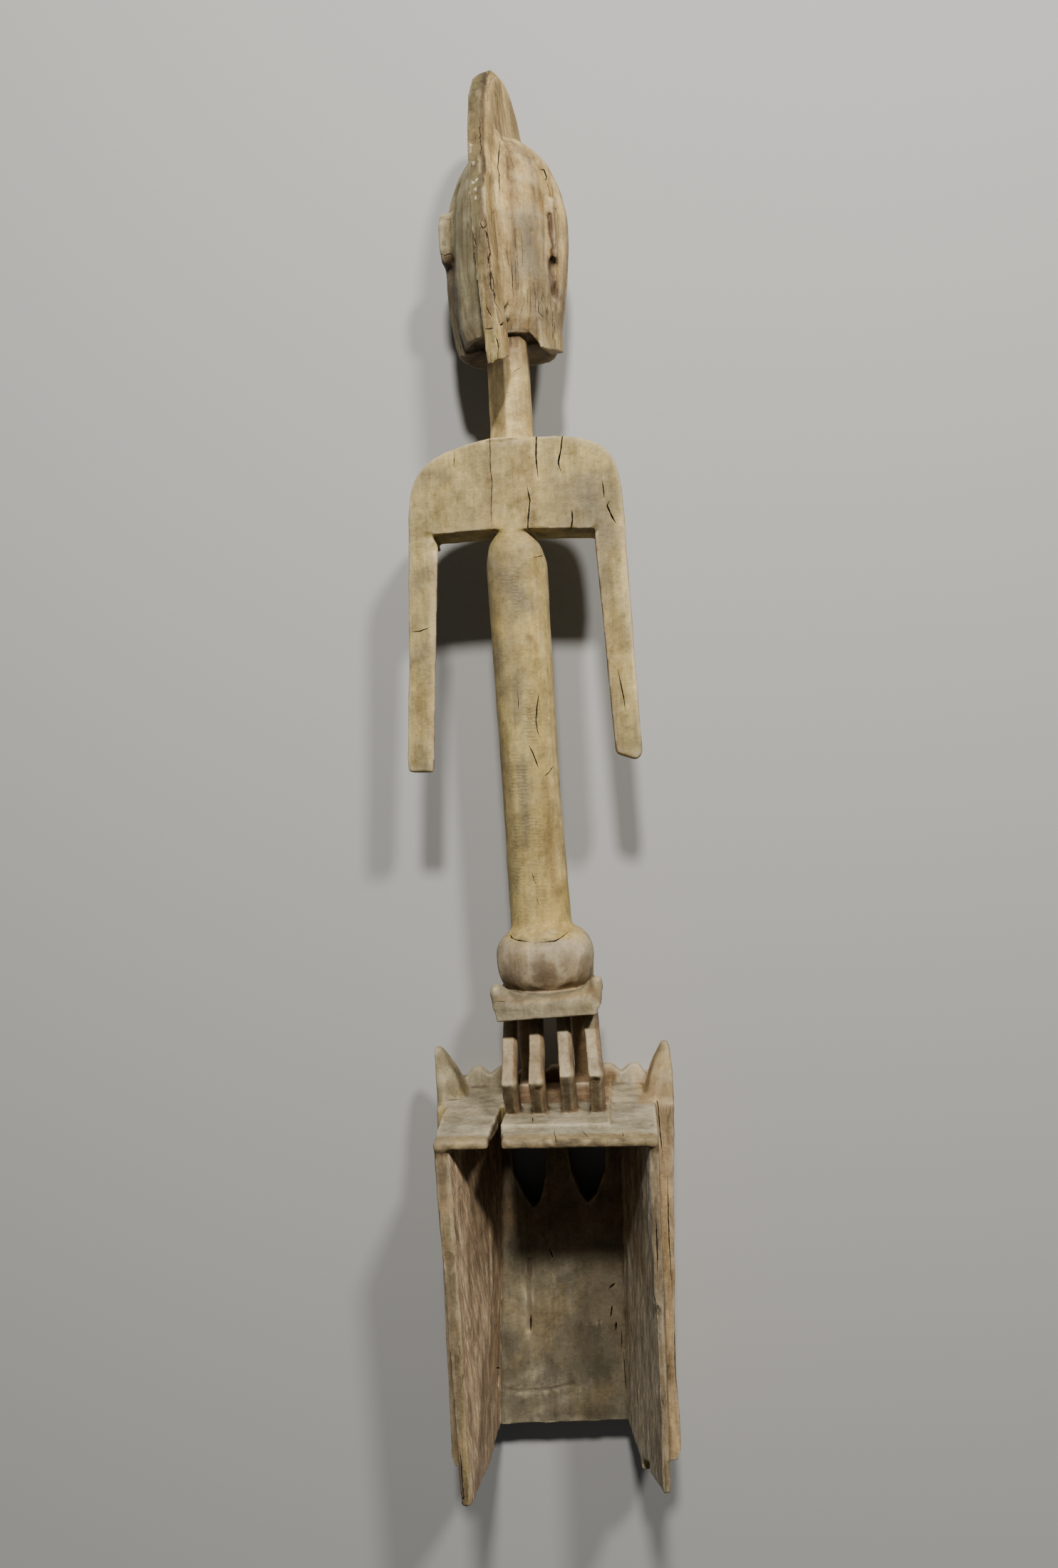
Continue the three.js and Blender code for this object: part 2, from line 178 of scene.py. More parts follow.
def read_points(mesh):
    """Every vertex of a mesh in carver's millimetres."""
    flat = np.empty(len(mesh.vertices) * 3, np.float32)
    mesh.vertices.foreach_get("co", flat)
    return flat.reshape(-1, 3).astype(float) / MM - HOME


def write_points(mesh, points):
    """Moves the vertices of a mesh to places in carver's millimetres."""
    mesh.vertices.foreach_set("co", ((points + HOME) * MM).astype(np.float32).ravel())
    mesh.update()


def read_normals(mesh):
    """The way that the surface looks at every vertex."""
    flat = np.empty(len(mesh.vertices) * 3, np.float32)
    mesh.vertex_normals.foreach_get("vector", flat)
    return flat.reshape(-1, 3).astype(float)


def rise(value, start, end):
    """0 before start, 1 after end and a smooth step between them."""
    share = np.clip((value - start) / (end - start), 0, 1)
    return share * share * (3 - 2 * share)


def between(value, start, end, soft):
    """1 from start to end, fading to 0 over a soft margin outside."""
    return rise(value, start - soft, start) * (1 - rise(value, end, end + soft))


def region(points, x=None, y=None, z=None, soft=4):
    """A soft box: the share of each point that is inside the limits given."""
    share = np.ones(len(points))
    for axis, limits in enumerate((x, y, z)):
        if limits is not None:
            share = share * between(points[:, axis], *limits, soft)
    return share


print("top plate in the frame, mm:", round(HOME[1], 1))

# %% [markdown]
# The solid is faceted, and its parts meet in knife-sharp lines that no carver leaves. A voxel
# remesh turns it into one even skin of small squares, which can then be smoothed, worn and
# dented like wood. The copy's doubled corners are merged first, since the solid arrives as loose
# triangles.

# %% A fine skin from the solid
VOXEL = 1.3 * MM
WELD = 1e-6  # metres


def evaluated(owner):
    """The object's mesh with its modifiers in force, and the modifiers removed."""
    graph = bpy.context.evaluated_depsgraph_get()
    made = bpy.data.meshes.new_from_object(owner.evaluated_get(graph))
    owner.modifiers.clear()
    owner.data = made
    return made


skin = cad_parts[NODE].data.copy()
work = bmesh.new()
work.from_mesh(skin)
bmesh.ops.remove_doubles(work, verts=work.verts, dist=WELD)
work.to_mesh(skin)
work.free()
skin.materials.clear()
mask = bpy.data.objects.new("carved_mask", skin)
bpy.context.scene.collection.objects.link(mask)
remesh = mask.modifiers.new("even skin", "REMESH")
remesh.mode = "VOXEL"
remesh.voxel_size = VOXEL
skin = evaluated(mask)
print("even skin:", len(skin.vertices), "points")

# %% [markdown]
# Some regions follow a part's own frame. The crest is a flat plate that leans and turns on the
# head, so a place on it is easiest to name across, along and deep in that plate.

# %% Frame of the crest
CREST_PIVOT = np.array((-1.5, 740, 82))
CREST_TURN = math.radians(17)
CREST_LEAN = math.radians(5)
SKULL_TOP = (842, 852)  # above it the whole crest stands free
TAIL_END = (628, 634)
crest_axes = np.array(
    Matrix.Rotation(CREST_LEAN, 3, "Z") @ Matrix.Rotation(-CREST_TURN, 3, "Y")
)  # columns: across, along and deep


def in_crest(points):
    """Points in the crest's own frame, with their height kept."""
    return (points - CREST_PIVOT) @ crest_axes + (0, CREST_PIVOT[1], 0)


def off_skull(own, start, end):
    """1 where the crest stands free behind the skull or above it, down to the tail."""
    behind_or_above = np.maximum(rise(own[:, 2], start, end), rise(own[:, 1], *SKULL_TOP))
    return behind_or_above * rise(own[:, 1], *TAIL_END)


def crest_back(points, normals):
    """The narrow back of the crest, from its tip to its tail."""
    own = in_crest(points)
    flank = np.abs(normals @ crest_axes[:, 0])
    return off_skull(own, 44, 48) * between(own[:, 0], -9, 9, 1.5) * (1 - rise(flank, 0.45, 0.75))


def crest_right(points, normals):
    """The right flank of the crest."""
    own = in_crest(points)
    flank = normals @ crest_axes[:, 0]
    return off_skull(own, 40, 46) * between(own[:, 0], -12, 12, 2) * rise(flank, 0.3, 0.7)


print("crest looks along", np.round(crest_axes[:, 2], 2))

# %% [markdown]
# Round limbs are smoothed most, because the solid's facets must go. Flat faces and planed edges
# are smoothed only a little, so they stay crisp. Each round moves a point part of the way to the
# mean of its neighbours.

# %% Smooth the skin
LIMB_ROUNDS = 24
EDGE_ROUNDS = 2
HALFWAY = 0.5


def relax(mesh, points, weight, rounds):
    """Moves each point towards its neighbours' mean, by its own weight, several times."""
    flat = np.empty(len(mesh.edges) * 2, np.int32)
    mesh.edges.foreach_get("vertices", flat)
    first, second = flat.reshape(-1, 2).T
    count = len(points)
    links = np.bincount(first, minlength=count) + np.bincount(second, minlength=count)
    for _ in range(rounds):
        total = np.empty_like(points)
        for axis in range(3):
            column = points[:, axis]
            total[:, axis] = np.bincount(first, column[second], count)
            total[:, axis] += np.bincount(second, column[first], count)
        points = points + weight[:, None] * (total / np.maximum(links, 1)[:, None] - points)
    return points


points = read_points(skin)
own = in_crest(points)
behind_skull = np.maximum(rise(own[:, 2], 40, 46), rise(own[:, 1], 845, 855))
plate_of_crest = between(own[:, 0], -9, 9, 2) * behind_skull
off_the_comb = np.abs(points[:, 0]) > 84
round_limbs = np.maximum.reduce([
    region(points, (-45, 50), (104, 480), soft=6),  # hips and trunk
    0.12 * region(points, (-32, 16), (588, 668), (60, 128)),  # neck
    region(points, (78, 116), (-40, 10), (84, 110), soft=8),  # roots of the horns
    region(points, (-108, -70), (-40, 10), (84, 110), soft=8),
    0.8 * region(points, (-94, 96), (-14, 6), (186, 210), soft=3),  # lip of the plate
    region(points, y=(688, 930), soft=8) * (1 - plate_of_crest),  # skull and face
    region(points, (-70, 50), (506, 556), (0, 76)),  # breasts
    region(points, (-34, 46), (14, 112), (50, 86)),  # shins
    region(points, (-18, -4), (792, 818), (118, 150), soft=6),  # where the crest's swelling ends
    0.22 * region(points, y=(296, 592), z=(60, 130)),  # arms and yoke
    0.8 * region(points, (-112, -84), (296, 306), (60, 130), soft=3),  # ends of the arms
    0.8 * region(points, (72, 104), (300, 314), (60, 130), soft=3),
    0.5 * region(points, (-110, 110), (0, 46), (50, 110)) * off_the_comb,  # horns
])
points = relax(skin, points, HALFWAY * round_limbs, LIMB_ROUNDS)
points = relax(skin, points, np.full(len(points), HALFWAY), EDGE_ROUNDS)
write_points(skin, points)
print("share of round limbs:", round(float(round_limbs.mean()), 2))

# %% [markdown]
# Node trees are long to write out, so one small class says them in short words. Each call adds a
# node, fills its inputs in their order with numbers or with other nodes' outputs, and gives back
# the output that the next call needs. The same class serves materials and Geometry Nodes.

# %% Short words for node trees


class Wiring:
    """Adds nodes to one tree. A None leaves an input as it is."""

    def __init__(self, tree):
        self.tree = tree

    def node(self, kind, *values, out=None, **choices):
        """Adds a node, fills its inputs in their order and gives back an output."""
        node = self.tree.nodes.new(kind)
        for name, choice in choices.items():
            setattr(node, name, choice)
        for socket, value in zip([s for s in node.inputs if s.enabled], values):
            if isinstance(value, bpy.types.NodeSocket):
                self.tree.links.new(value, socket)
            elif value is not None:
                socket.default_value = value
        shown = [s for s in node.outputs if s.enabled]
        if out is None:
            return shown[0] if shown else node
        return next(s for s in shown if s.name == out)

    def maths(self, operation, *values):
        return self.node("ShaderNodeMath", *values, operation=operation)

    def chain(self, operation, values):
        """The values joined one after another by an operation."""
        total = values[0]
        for value in values[1:]:
            total = self.maths(operation, total, value)
        return total

    def add(self, *values):
        return self.chain("ADD", values)

    def times(self, *values):
        return self.chain("MULTIPLY", values)

    def vector(self, operation, *values):
        return self.node("ShaderNodeVectorMath", *values, operation=operation)

    def stretch(self, where, *sizes):
        return self.vector("MULTIPLY", where, sizes)

    def turn(self, where, axis, angle):
        return self.node(
            "ShaderNodeVectorRotate", where, None, axis, angle, rotation_type="AXIS_ANGLE"
        )

    def noise(self, where, scale, detail=2, roughness=0.5, along=1, out="Fac"):
        """Noise of so many waves a metre, drawn out along Y where along is below 1."""
        if along != 1:
            where = self.stretch(where, 1, along, 1)
        return self.node("ShaderNodeTexNoise", where, scale, detail, roughness, out=out)

    def cells(self, where, scale, along, **choices):
        """Cells of so many a metre, drawn out along Y."""
        return self.node("ShaderNodeTexVoronoi", self.stretch(where, 1, along, 1), scale, **choices)

    def ramp(self, value, start, end, low=0, high=1):
        """low before start, high after end and a smooth step between them."""
        return self.node(
            "ShaderNodeMapRange", value, start, end, low, high, interpolation_type="SMOOTHSTEP"
        )

    def blend(self, share, first, second, way="MIX"):
        return self.node("ShaderNodeMix", share, first, second, data_type="RGBA", blend_type=way)

    def read(self, name):
        """A number stored at each point, in a Geometry Nodes tree."""
        return self.node("GeometryNodeInputNamedAttribute", name, data_type="FLOAT")

    def painted(self, name, out="Fac"):
        """A number or colour stored at each point, in a material."""
        return self.node("ShaderNodeAttribute", attribute_name=name, out=out)


print("words for nodes:", sum(not name.startswith("_") for name in vars(Wiring)))

# %% [markdown]
# The wood is bare, dry and old, with the grain running along the mask. Its colour is built up as
# on the real thing. First comes the tone of each region, stored at the points of the skin and
# painted further down. Then fibres and growth rings are laid over it, long in Y and narrow across.
# Grey stains, yellow patches, grime in the corners and pale rubbed edges follow. The fibres also
# drive the fine bumps. All the patterns read Object coordinates, which are metres here.

# %% Old wood
wood = bpy.data.materials.new("old_wood")
wood.use_nodes = True
wood.node_tree.nodes.clear()
w = Wiring(wood.node_tree)
spot = w.node("ShaderNodeTexCoord", out="Object")
tone_here = w.painted("tone", out="Color")
SHARES = ("grainy", "weathered", "stained", "rubbed", "grimy", "rasped", "slanted")
grainy, weathered, stained, rubbed, grimy, rasped, slanted = (w.painted(name) for name in SHARES)
limbs = w.maths("SUBTRACT", 1, grainy)  # the smoother parts: trunk, arms and yoke
print("wood reads its tone and", len(SHARES), "shares")

# %% Fibres, patches and specks
PATTERNS = (  # waves a metre, detail, roughness and how far it is drawn out along the grain
    (900, 3, 0.6, 0.05),  # fine fibre
    (230, 4, 0.6, 0.05),  # streaks
    (60, 3, 0.55, 0.12),  # bands
    (13, 4, 0.6, 1),  # blotches
    (62, 5, 0.62, 0.35),  # patches
    (22, 5, 0.55, 0.5),  # clouds
    (120, 4, 0.62, 1),  # mottling
)
fine_fibre, streak, band, blotch, patch, cloud, mottle = (w.noise(spot, *row) for row in PATTERNS)
SPECK_PATTERN = (520, 3, 0.6)
SPECK_SQUEEZE = (0.55, 1, 1)  # makes the specks wider than long
speck = w.noise(w.stretch(spot, *SPECK_SQUEEZE), *SPECK_PATTERN)
grain = w.add(w.times(streak, 0.45), w.times(fine_fibre, 0.25), w.times(band, 0.35))
print("patterns:", len(PATTERNS) + 1)

# %% Growth rings and hairlines
LOG_HEART = (0.004, 0, 0.02)  # the growth rings turn round a line through this point
RING_GAP = 0.0062  # metres
RING_BEND = 0.03  # metres that a slow noise shifts the rings by
RING_BENDS = 7  # a metre
RING_DRAW = 0.04  # the rings run nearly straight along the log
CRACKLE = (150, 0.03)  # cells a metre, and how far they are drawn out along the grain
bend = w.vector("SCALE", w.noise(spot, RING_BENDS, out="Color"), RING_BEND)
off_heart = w.vector("SUBTRACT", w.vector("ADD", spot, bend), LOG_HEART)
heart_distance = w.vector("LENGTH", w.stretch(off_heart, 1, RING_DRAW, 1))
ring = w.maths("SINE", w.times(heart_distance, 2 * math.pi / RING_GAP))
late_wood = w.times(w.ramp(ring, 0.2, 1), w.ramp(band, 0.35, 0.6))
crackle = w.cells(spot, *CRACKLE, feature="DISTANCE_TO_EDGE")
hairline = w.times(w.ramp(crackle, 0, 0.03, 1, 0), w.ramp(patch, 0.52, 0.62), grainy)
print("rings every", round(RING_GAP / MM, 1), "mm")

# %% Marks of the rasp and the slanted strokes
RASP_GAP = 0.0031  # metres
RASP_SHAKE = 16  # how far the mottling bends its lines, in radians
STROKE_LEAN = math.radians(-24)
STROKE_PATTERN = (280, 3, 0.62, 0.13)
SWEEP_TURN = math.radians(60)
SWEEP_PATTERN = (55, 4, 0.55, 0.3)
along_y = w.node("ShaderNodeSeparateXYZ", spot, out="Y")
rasp_wave = w.add(w.times(along_y, 2 * math.pi / RASP_GAP), w.times(mottle, RASP_SHAKE))
rasp = w.maths("SINE", rasp_wave)
rasp_here = w.times(rasped, w.ramp(patch, 0.47, 0.58))
slant_fibre = w.noise(w.turn(spot, (1, 0, 0), STROKE_LEAN), *STROKE_PATTERN)
sweep = w.noise(w.turn(spot, (0, 0, 1), SWEEP_TURN), *SWEEP_PATTERN)
print("nodes so far:", len(w.tree.nodes))

# %% [markdown]
# Each layer of colour has a share, which says how much of it shows at a place, and either a colour
# that is laid over what is below, or three factors that shade it. Factors are used for fibres and
# patches, because they darken and lighten every region in its own tone.

# %% Colours of the wood
GREY = (0.15, 0.122, 0.078, 1)
OCHRE = (0.45, 0.31, 0.12, 1)
RUBBED = (0.66, 0.56, 0.37, 1)
GRIME = (0.085, 0.058, 0.030, 1)
HAIRLINE = (0.05, 0.032, 0.016, 1)


def step(pattern, start, full, *shares):
    """A share that rises from start to full, times the other shares."""
    return w.times(w.ramp(pattern, start, full), *shares)


patchy = w.add(0.4, w.times(grainy, 0.4))
fibrous = w.add(0.35, w.times(grainy, 0.65))
worn_edge = w.times(rubbed, w.ramp(mottle, 0.3, 0.6, 0.1, 1), 0.42)
LAYERS = (  # share, and a colour or three factors
    (step(grain, 0.66, 0.40, fibrous), (0.58, 0.52, 0.44)),  # dark fibres
    (w.times(late_wood, grainy, 0.55), (0.68, 0.58, 0.46)),
    (step(blotch, 0.46, 0.66, 0.22), OCHRE),
    (step(sweep, 0.50, 0.60, limbs, 0.8), (0.72, 0.70, 0.64)),  # slanting sweeps, dark and pale
    (step(sweep, 0.48, 0.40, limbs, 0.6), (1.2, 1.17, 1.08)),
    (step(patch, 0.48, 0.58, patchy), (0.64, 0.61, 0.54)),  # patches, dark and pale
    (step(patch, 0.47, 0.39, patchy), (1.30, 1.26, 1.16)),
    (step(cloud, 0.42, 0.56, stained, 0.62), GREY),  # clouds of grey stain
    (step(mottle, 0.50, 0.68, 0.42), (0.56, 0.53, 0.48)),  # mottling, dark and pale
    (step(mottle, 0.46, 0.32, 0.5), (1.42, 1.40, 1.32)),
    (step(speck, 0.50, 0.68, 0.40), (0.54, 0.50, 0.44)),  # specks, dark and pale
    (step(speck, 0.42, 0.30, 0.5), (1.26, 1.24, 1.18)),
    (step(slant_fibre, 0.48, 0.60, slanted, 0.55), (0.62, 0.57, 0.50)),  # strokes, dark and pale
    (step(slant_fibre, 0.48, 0.38, slanted, 0.7), (1.4, 1.4, 1.4)),
    (step(rasp, 0, 1, rasp_here, 0.10), RUBBED),  # ridges that the rasp left
    (step(streak, 0.52, 0.66, weathered, 0.6), GRIME),  # dirt in opened fibres
    (w.times(grimy, 0.8), GRIME),  # and in corners
    (worn_edge, RUBBED),
    (w.times(hairline, 0.7), HAIRLINE),
)
colour = tone_here
for share, laid in LAYERS:
    if len(laid) == 3:
        laid = w.blend(1.0, colour, (*laid, 1), "MULTIPLY")
    colour = w.blend(share, colour, laid)
print("layers of colour:", len(LAYERS))

# %% Relief and sheen of the wood
FIBRE_RELIEF = 0.00012  # metres, as are the other reliefs
RING_RELIEF = 0.00008
RASP_RELIEF = 0.00007
ROUGH_RELIEF = 0.0009
STROKE_RELIEF = 0.0010
MOTTLE_RELIEF = 0.0004
SPECK_RELIEF = 0.00012
HAIRLINE_DEPTH = -0.0004
WOOD_SPECULAR = 0.35
WOOD_ROUGHNESS = (0.62, 0.82)
CRACK_COLOUR = (0.035, 0.021, 0.010)
CRACK_ROUGHNESS = 0.95
fibres = w.add(streak, w.times(fine_fibre, 0.5))
height = w.add(
    w.times(fibres, w.add(FIBRE_RELIEF, w.times(weathered, ROUGH_RELIEF))),
    w.times(late_wood, grainy, RING_RELIEF),
    w.times(rasp, rasp_here, RASP_RELIEF),
    w.times(slant_fibre, slanted, STROKE_RELIEF),
    w.times(mottle, MOTTLE_RELIEF),
    w.times(speck, SPECK_RELIEF),
    w.times(hairline, HAIRLINE_DEPTH),
)
bumps = w.node("ShaderNodeBump", 1.0, 1.0, None, height, out="Normal")
shader = w.tree.nodes.new("ShaderNodeBsdfPrincipled")
shader.inputs["Specular IOR Level"].default_value = WOOD_SPECULAR
w.tree.links.new(colour, shader.inputs["Base Color"])
w.tree.links.new(w.ramp(mottle, 0.35, 0.7, *WOOD_ROUGHNESS), shader.inputs["Roughness"])
w.tree.links.new(bumps, shader.inputs["Normal"])
output = w.tree.nodes.new("ShaderNodeOutputMaterial")
w.tree.links.new(shader.outputs["BSDF"], output.inputs["Surface"])
crack_shade = plain("crack_shade", CRACK_COLOUR, CRACK_ROUGHNESS)
print("wood nodes:", len(w.tree.nodes))

# %% [markdown]
# Weather and use have opened small hollows: wood broken out under the right ear, pits in the
# crest, knots, and the channel a worm left in the panel. A dent is pressed in at a named place.
# A groove follows a course, which is a short list of places. The course is dropped on to the
# nearest skin first, so its places need to be only nearly right. A groove with a negative depth
# is a swelling.

# %% Places of the dents
DENTS = (  # place, radius, depth, stretch along x, y and z
    ((37, 734, 103), 5, 6, (0.8, 2.4, 1.3)),  # broken out below the right ear
    ((38.5, 716, 100), 5, 5, (0.8, 2.2, 1.3)),
    ((-14.3, 916, 96), 4, 3.5, (0.55, 1.5, 3.5)),  # nick in the tip of the crest
    ((-52, 753, 88), 4, 3, (1, 1, 1.4)),  # pit under the left ear
    ((20, 759, 121), 2.4, 1.2, (1, 1.3, 1)),
    ((-19, 757, 149), 2.6, 1.6, (0.8, 1.6, 1)),  # knot in the crest
    ((-14, 703, 154), 4, 2.6, (0.6, 2.2, 1)),
    ((-11, 688, 150), 4, 3.2, (0.7, 2, 1)),
    ((-82, 502, 125), 5, 1.8, (1.6, 0.9, 1)),  # chips in the left armpit
    ((-76, 492, 125), 4, 2.0, (0.9, 1.6, 1)),
    ((63, 500, 125), 4, 1.4, (1, 1.2, 1)),
    ((13, 0, 204), 6, 1.4, (1.1, 1, 1)),  # knot at the edge of the plate
    ((-80, -97, 201), 6, 1.6, (1, 1.4, 1)),
    ((81, -133, 196), 5, 1.8, (1, 1.4, 1.2)),
    ((85, -140, 201), 4, 1.6, (1, 1.6, 1)),
    ((-60, -168, 140), 2.6, 1.6, (1, 1, 1)),
    ((-62, -277, 52), 5, 2.5, (1, 1.6, 1.6)),
    ((-28, 26, 158), 4, 1.6, (1, 1.4, 1)),  # bruises on the posts
    ((-4, 30, 166), 4, 1.4, (1, 1.2, 1)),
    ((44, 36, 168), 4, 1.5, (1, 1.2, 1)),
)
print("dents:", len(DENTS))

# %% Courses of the grooves
GROOVES = (  # half width, depth and course
    # crest
    (2.6, 1.6, ((-14, 915, 100), (-14, 885, 122), (-14, 855, 138), (-15, 826, 146), (-16, 805, 150))),
    (1.5, 1.0, ((-15, 740, 153), (-14, 718, 154), (-11, 690, 153), (-9, 670, 150))),
    # right side of the head
    (2.2, 1.8, ((24, 836, 96), (30, 826, 97), (36, 812, 98), (39.5, 796, 98), (41, 780, 99))),
    (2.8, 2.2, ((35, 778, 106), (35.5, 762, 106), (36.5, 743, 106), (37, 728, 105), (39, 712, 102))),
    (1.6, 1.6, ((33, 797, 108), (31, 785, 110), (30, 760, 111), (29.5, 738, 111))),
    (1.6, 1.6, ((41, 797, 99), (40.5, 760, 99), (40, 738, 97), (38, 700, 95))),
    (2.0, 1.6, ((34, 715, 100), (33, 695, 99), (30, 684, 100), (29, 671, 95))),
    # where the trunk, the neck and the horns stand on what is below
    (1.6, 0.8, ((-27, 154, 118), (-18, 150, 138), (-6, 148, 144), (14, 149, 142), (25, 155, 128))),
    (1.5, 0.8, ((-27, 580, 125), (-14, 580, 125), (-5, 581, 125), (11, 582, 125))),
    (1.3, 0.6, ((-92, 0, 105), (-45, 0, 109))),
    (1.3, 0.6, ((92, 0, 102), (58, 0, 106), (59, 0, 147))),
    # panel: the worm's channel and old strokes
    (3.0, 1.6, ((-30, -168, 38), (-32, -195, 38), (-33, -220, 38), (-33, -234, 38))),
    (2.2, 0.9, ((-59, -290, 38), (-44, -292, 38), (-24, -291, 38), (-9, -289, 38), (5, -286, 38))),
    (1.8, 0.8, ((33, -226, 38), (32, -248, 38))),
    (2.4, 0.9, ((-13, -150, 38), (-10, -200, 38), (-12, -240, 38))),
    (2.4, 0.9, ((20, -170, 38), (24, -230, 38))),
    (8, -2.6, (  # a swelling on the skull, right of the crest
        (-6, 850, 106), (-6, 830, 116), (-7, 800, 123), (-8, 760, 127), (-8, 715, 126), (-8, 690, 122),
    )),
)
print("grooves:", len(GROOVES))

# %% Dents and grooves
REACH = 25  # mm; points further from a course than this aren't measured
FAR_AWAY = 1000.0  # mm; stands for their distance
STEP = 2.5  # mm between the places where a course is dropped on to the skin
NO_LENGTH = 1e-6  # stands for the length of a step that has none
DENT_POWER = 1.5  # over 1, so that a dent fades out gently at its rim


def surface(mesh):
    """A search tree of a mesh's faces."""
    corners = [v.co.copy() for v in mesh.vertices]
    return BVHTree.FromPolygons(corners, [tuple(p.vertices) for p in mesh.polygons])


def drop(hull, path):
    """A course as points on the skin, each with its normal."""
    stops = []
    for start, end in zip(path[:-1], path[1:]):
        start, end = np.array(start, float), np.array(end, float)
        count = max(1, round(np.linalg.norm(end - start) / STEP))
        stops += [start + (end - start) * i / count for i in range(count)]
    stops.append(path[-1])
    return [hull.find_nearest(place(*stop))[:2] for stop in stops]


def off_course(points, hull, path):
    """How far every point is from a course dropped on to the skin."""
    course = np.array([tuple(p) for p, _ in drop(hull, path)]) / MM - HOME
    near = np.all((points > course.min(0) - REACH) & (points < course.max(0) + REACH), axis=1)
    own = points[near]
    nearest = np.full(len(own), np.inf)
    for start, end in zip(course[:-1], course[1:]):
        run = end - start
        share = np.clip((own - start) @ run / max(run @ run, NO_LENGTH), 0, 1)
        gap = np.linalg.norm(own - start - share[:, None] * run, axis=1)
        nearest = np.minimum(nearest, gap)
    gaps = np.full(len(points), FAR_AWAY)
    gaps[near] = nearest
    return gaps


normals = read_normals(skin)
hull = surface(skin)
sunk = np.zeros(len(points))
for middle, radius, depth, stretch in DENTS:
    away = np.linalg.norm((points - middle) / stretch, axis=1) / radius
    sunk += depth * np.clip(1 - away**2, 0, 1) ** DENT_POWER
for half_width, depth, path in GROOVES:
    away = off_course(points, hull, path) / half_width
    sunk += depth * np.clip(1 - away**2, 0, 1)
points = points - normals * sunk[:, None]
write_points(skin, points)
print("dents and grooves reach", round(float(sunk.max()), 1), "mm deep")

# %% [markdown]
# The adze leaves shallow scoops side by side, a hand's blow apart. Long weather opens the fibres
# of the crest, of its tail and of the back edges of the walls. Both follow the surface, so a
# Geometry Nodes tree moves each point along its normal: cell distances squared make the scoops,
# and noise stretched along the grain makes the fibres. How strong each one is at a point is
# stored on the skin first.

# %% Where the tools and the weather worked


def store(mesh, name, values):
    """Keeps one number or one colour for each point of a mesh."""
    if values.ndim == 1:
        layer = mesh.attributes.new(name, "FLOAT", "POINT")
        layer.data.foreach_set("value", values.astype(np.float32))
    else:
        layer = mesh.attributes.new(name, "FLOAT_COLOR", "POINT")
        full = np.column_stack((values, np.ones(len(values))))
        layer.data.foreach_set("color", full.astype(np.float32).ravel())


def facing(normals, way, start=0.5, end=0.8):
    """1 where the surface looks along a direction."""
    way = np.array(way, float)
    return rise(normals @ (way / np.linalg.norm(way)), start, end)


def wall_inside(points, normals, side):
    """The inner face of the left (-1) or right (1) wall of the box."""
    hollow = region(points, (-78, 86), (-330, -8), (40, 199), soft=2)
    return hollow * facing(normals, (-side, 0, 0.1)) * rise(side * points[:, 0], 40, 50)


def marks(points, normals):
    """Shares of scooping, weathering, slanted strokes, rasping and grain at each point."""
    panel = region(points, (-70, 66), (-330, -12), (30, 46), soft=2) * facing(normals, (0, 0, 1))
    ball = region(points, (-45, 50), (98, 150)) * (1 - 0.5 * rise(points[:, 1], 125, 148))
    face_front = region(points, z=(-5, 60)) * facing(normals, (0, 0, -1), 0.2, 0.6)
    tail = region(points, (-34, 2), (636, 690), (130, 175))
    scoops = np.clip(0.5 + 0.8 * panel + 1.5 * ball + 0.7 * face_front + 0.3 * tail, 0, 1.85)

    back = crest_back(points, normals) * (0.35 + 0.65 * rise(-points[:, 1], -800, -700))
    wall_edges = region(points, y=(-330, -10), z=(190, 210), soft=5) * facing(normals, (0, -0.2, 1))
    foot = region(points, y=(-330, -280), z=(60, 210), soft=8) * facing(normals, (0, -1, 0.3), 0.2, 0.6)
    right_shoulder = region(points, (93, 112), (-330, 0), (60, 106))
    weather = back + 0.5 * tail + 0.75 * wall_edges + 0.7 * foot + 0.1 * panel + 0.5 * right_shoulder

    box = region(points, y=(-330, -8), z=(-5, 210))
    head = region(points, y=(664, 930), z=(20, 180))
    plate = region(points, (-100, 110), (-12, 22), (20, 210)) * facing(normals, (0, 1, 0.2))
    grain = 0.26 + 0.55 * box + 0.75 * head - 0.45 * plate - 0.5 * panel - 0.1 * ball
    walls = wall_inside(points, normals, -1) + wall_inside(points, normals, 1)
    return {
        "scooped": scoops,
        "weathered": np.clip(weather, 0, 1),
        "slanted": np.clip(walls, 0, 1),
        "rasped": region(points, (-17, 3), (158, 470), (60, 130), soft=7),  # middle of the trunk
        "grainy": np.clip(grain, 0, 1),
    }


for name, share in marks(points, read_normals(skin)).items():
    store(skin, name, share)
    print(name, round(float(share.mean()), 3), end="; ")

# %% Trees of Geometry Nodes


def new_tree(name, *amounts):
    """A Geometry Nodes tree with one mesh in and out, and named numbers."""
    tree = bpy.data.node_groups.new(name, "GeometryNodeTree")
    for way in ("INPUT", "OUTPUT"):
        tree.interface.new_socket("Geometry", in_out=way, socket_type="NodeSocketGeometry")
    for amount in amounts:
        tree.interface.new_socket(amount, in_out="INPUT", socket_type="NodeSocketFloat")
    return tree


def finish_tree(wiring, geometry, material):
    """Ends a tree as the export needs it: real geometry with its material."""
    real = wiring.node("GeometryNodeRealizeInstances", geometry)
    dressed = wiring.node("GeometryNodeSetMaterial", real, None, material)
    wiring.node("NodeGroupOutput", dressed)


def run_tree(owner, tree, **amounts):
    """Runs a tree with named numbers and keeps the plain mesh that it makes."""
    modifier = owner.modifiers.new(tree.name, "NODES")
    modifier.node_group = tree
    for socket in tree.interface.items_tree:
        key = socket.name.lower().replace(" ", "_")
        if key in amounts:
            modifier[socket.identifier] = amounts[key]
    return evaluated(owner)


tree = new_tree("tool marks", "Wave", "Scoop depth", "Scoop size", "Weather depth", "Stroke depth")
print("inputs of the tool marks:", len(tree.interface.items_tree) - 2)

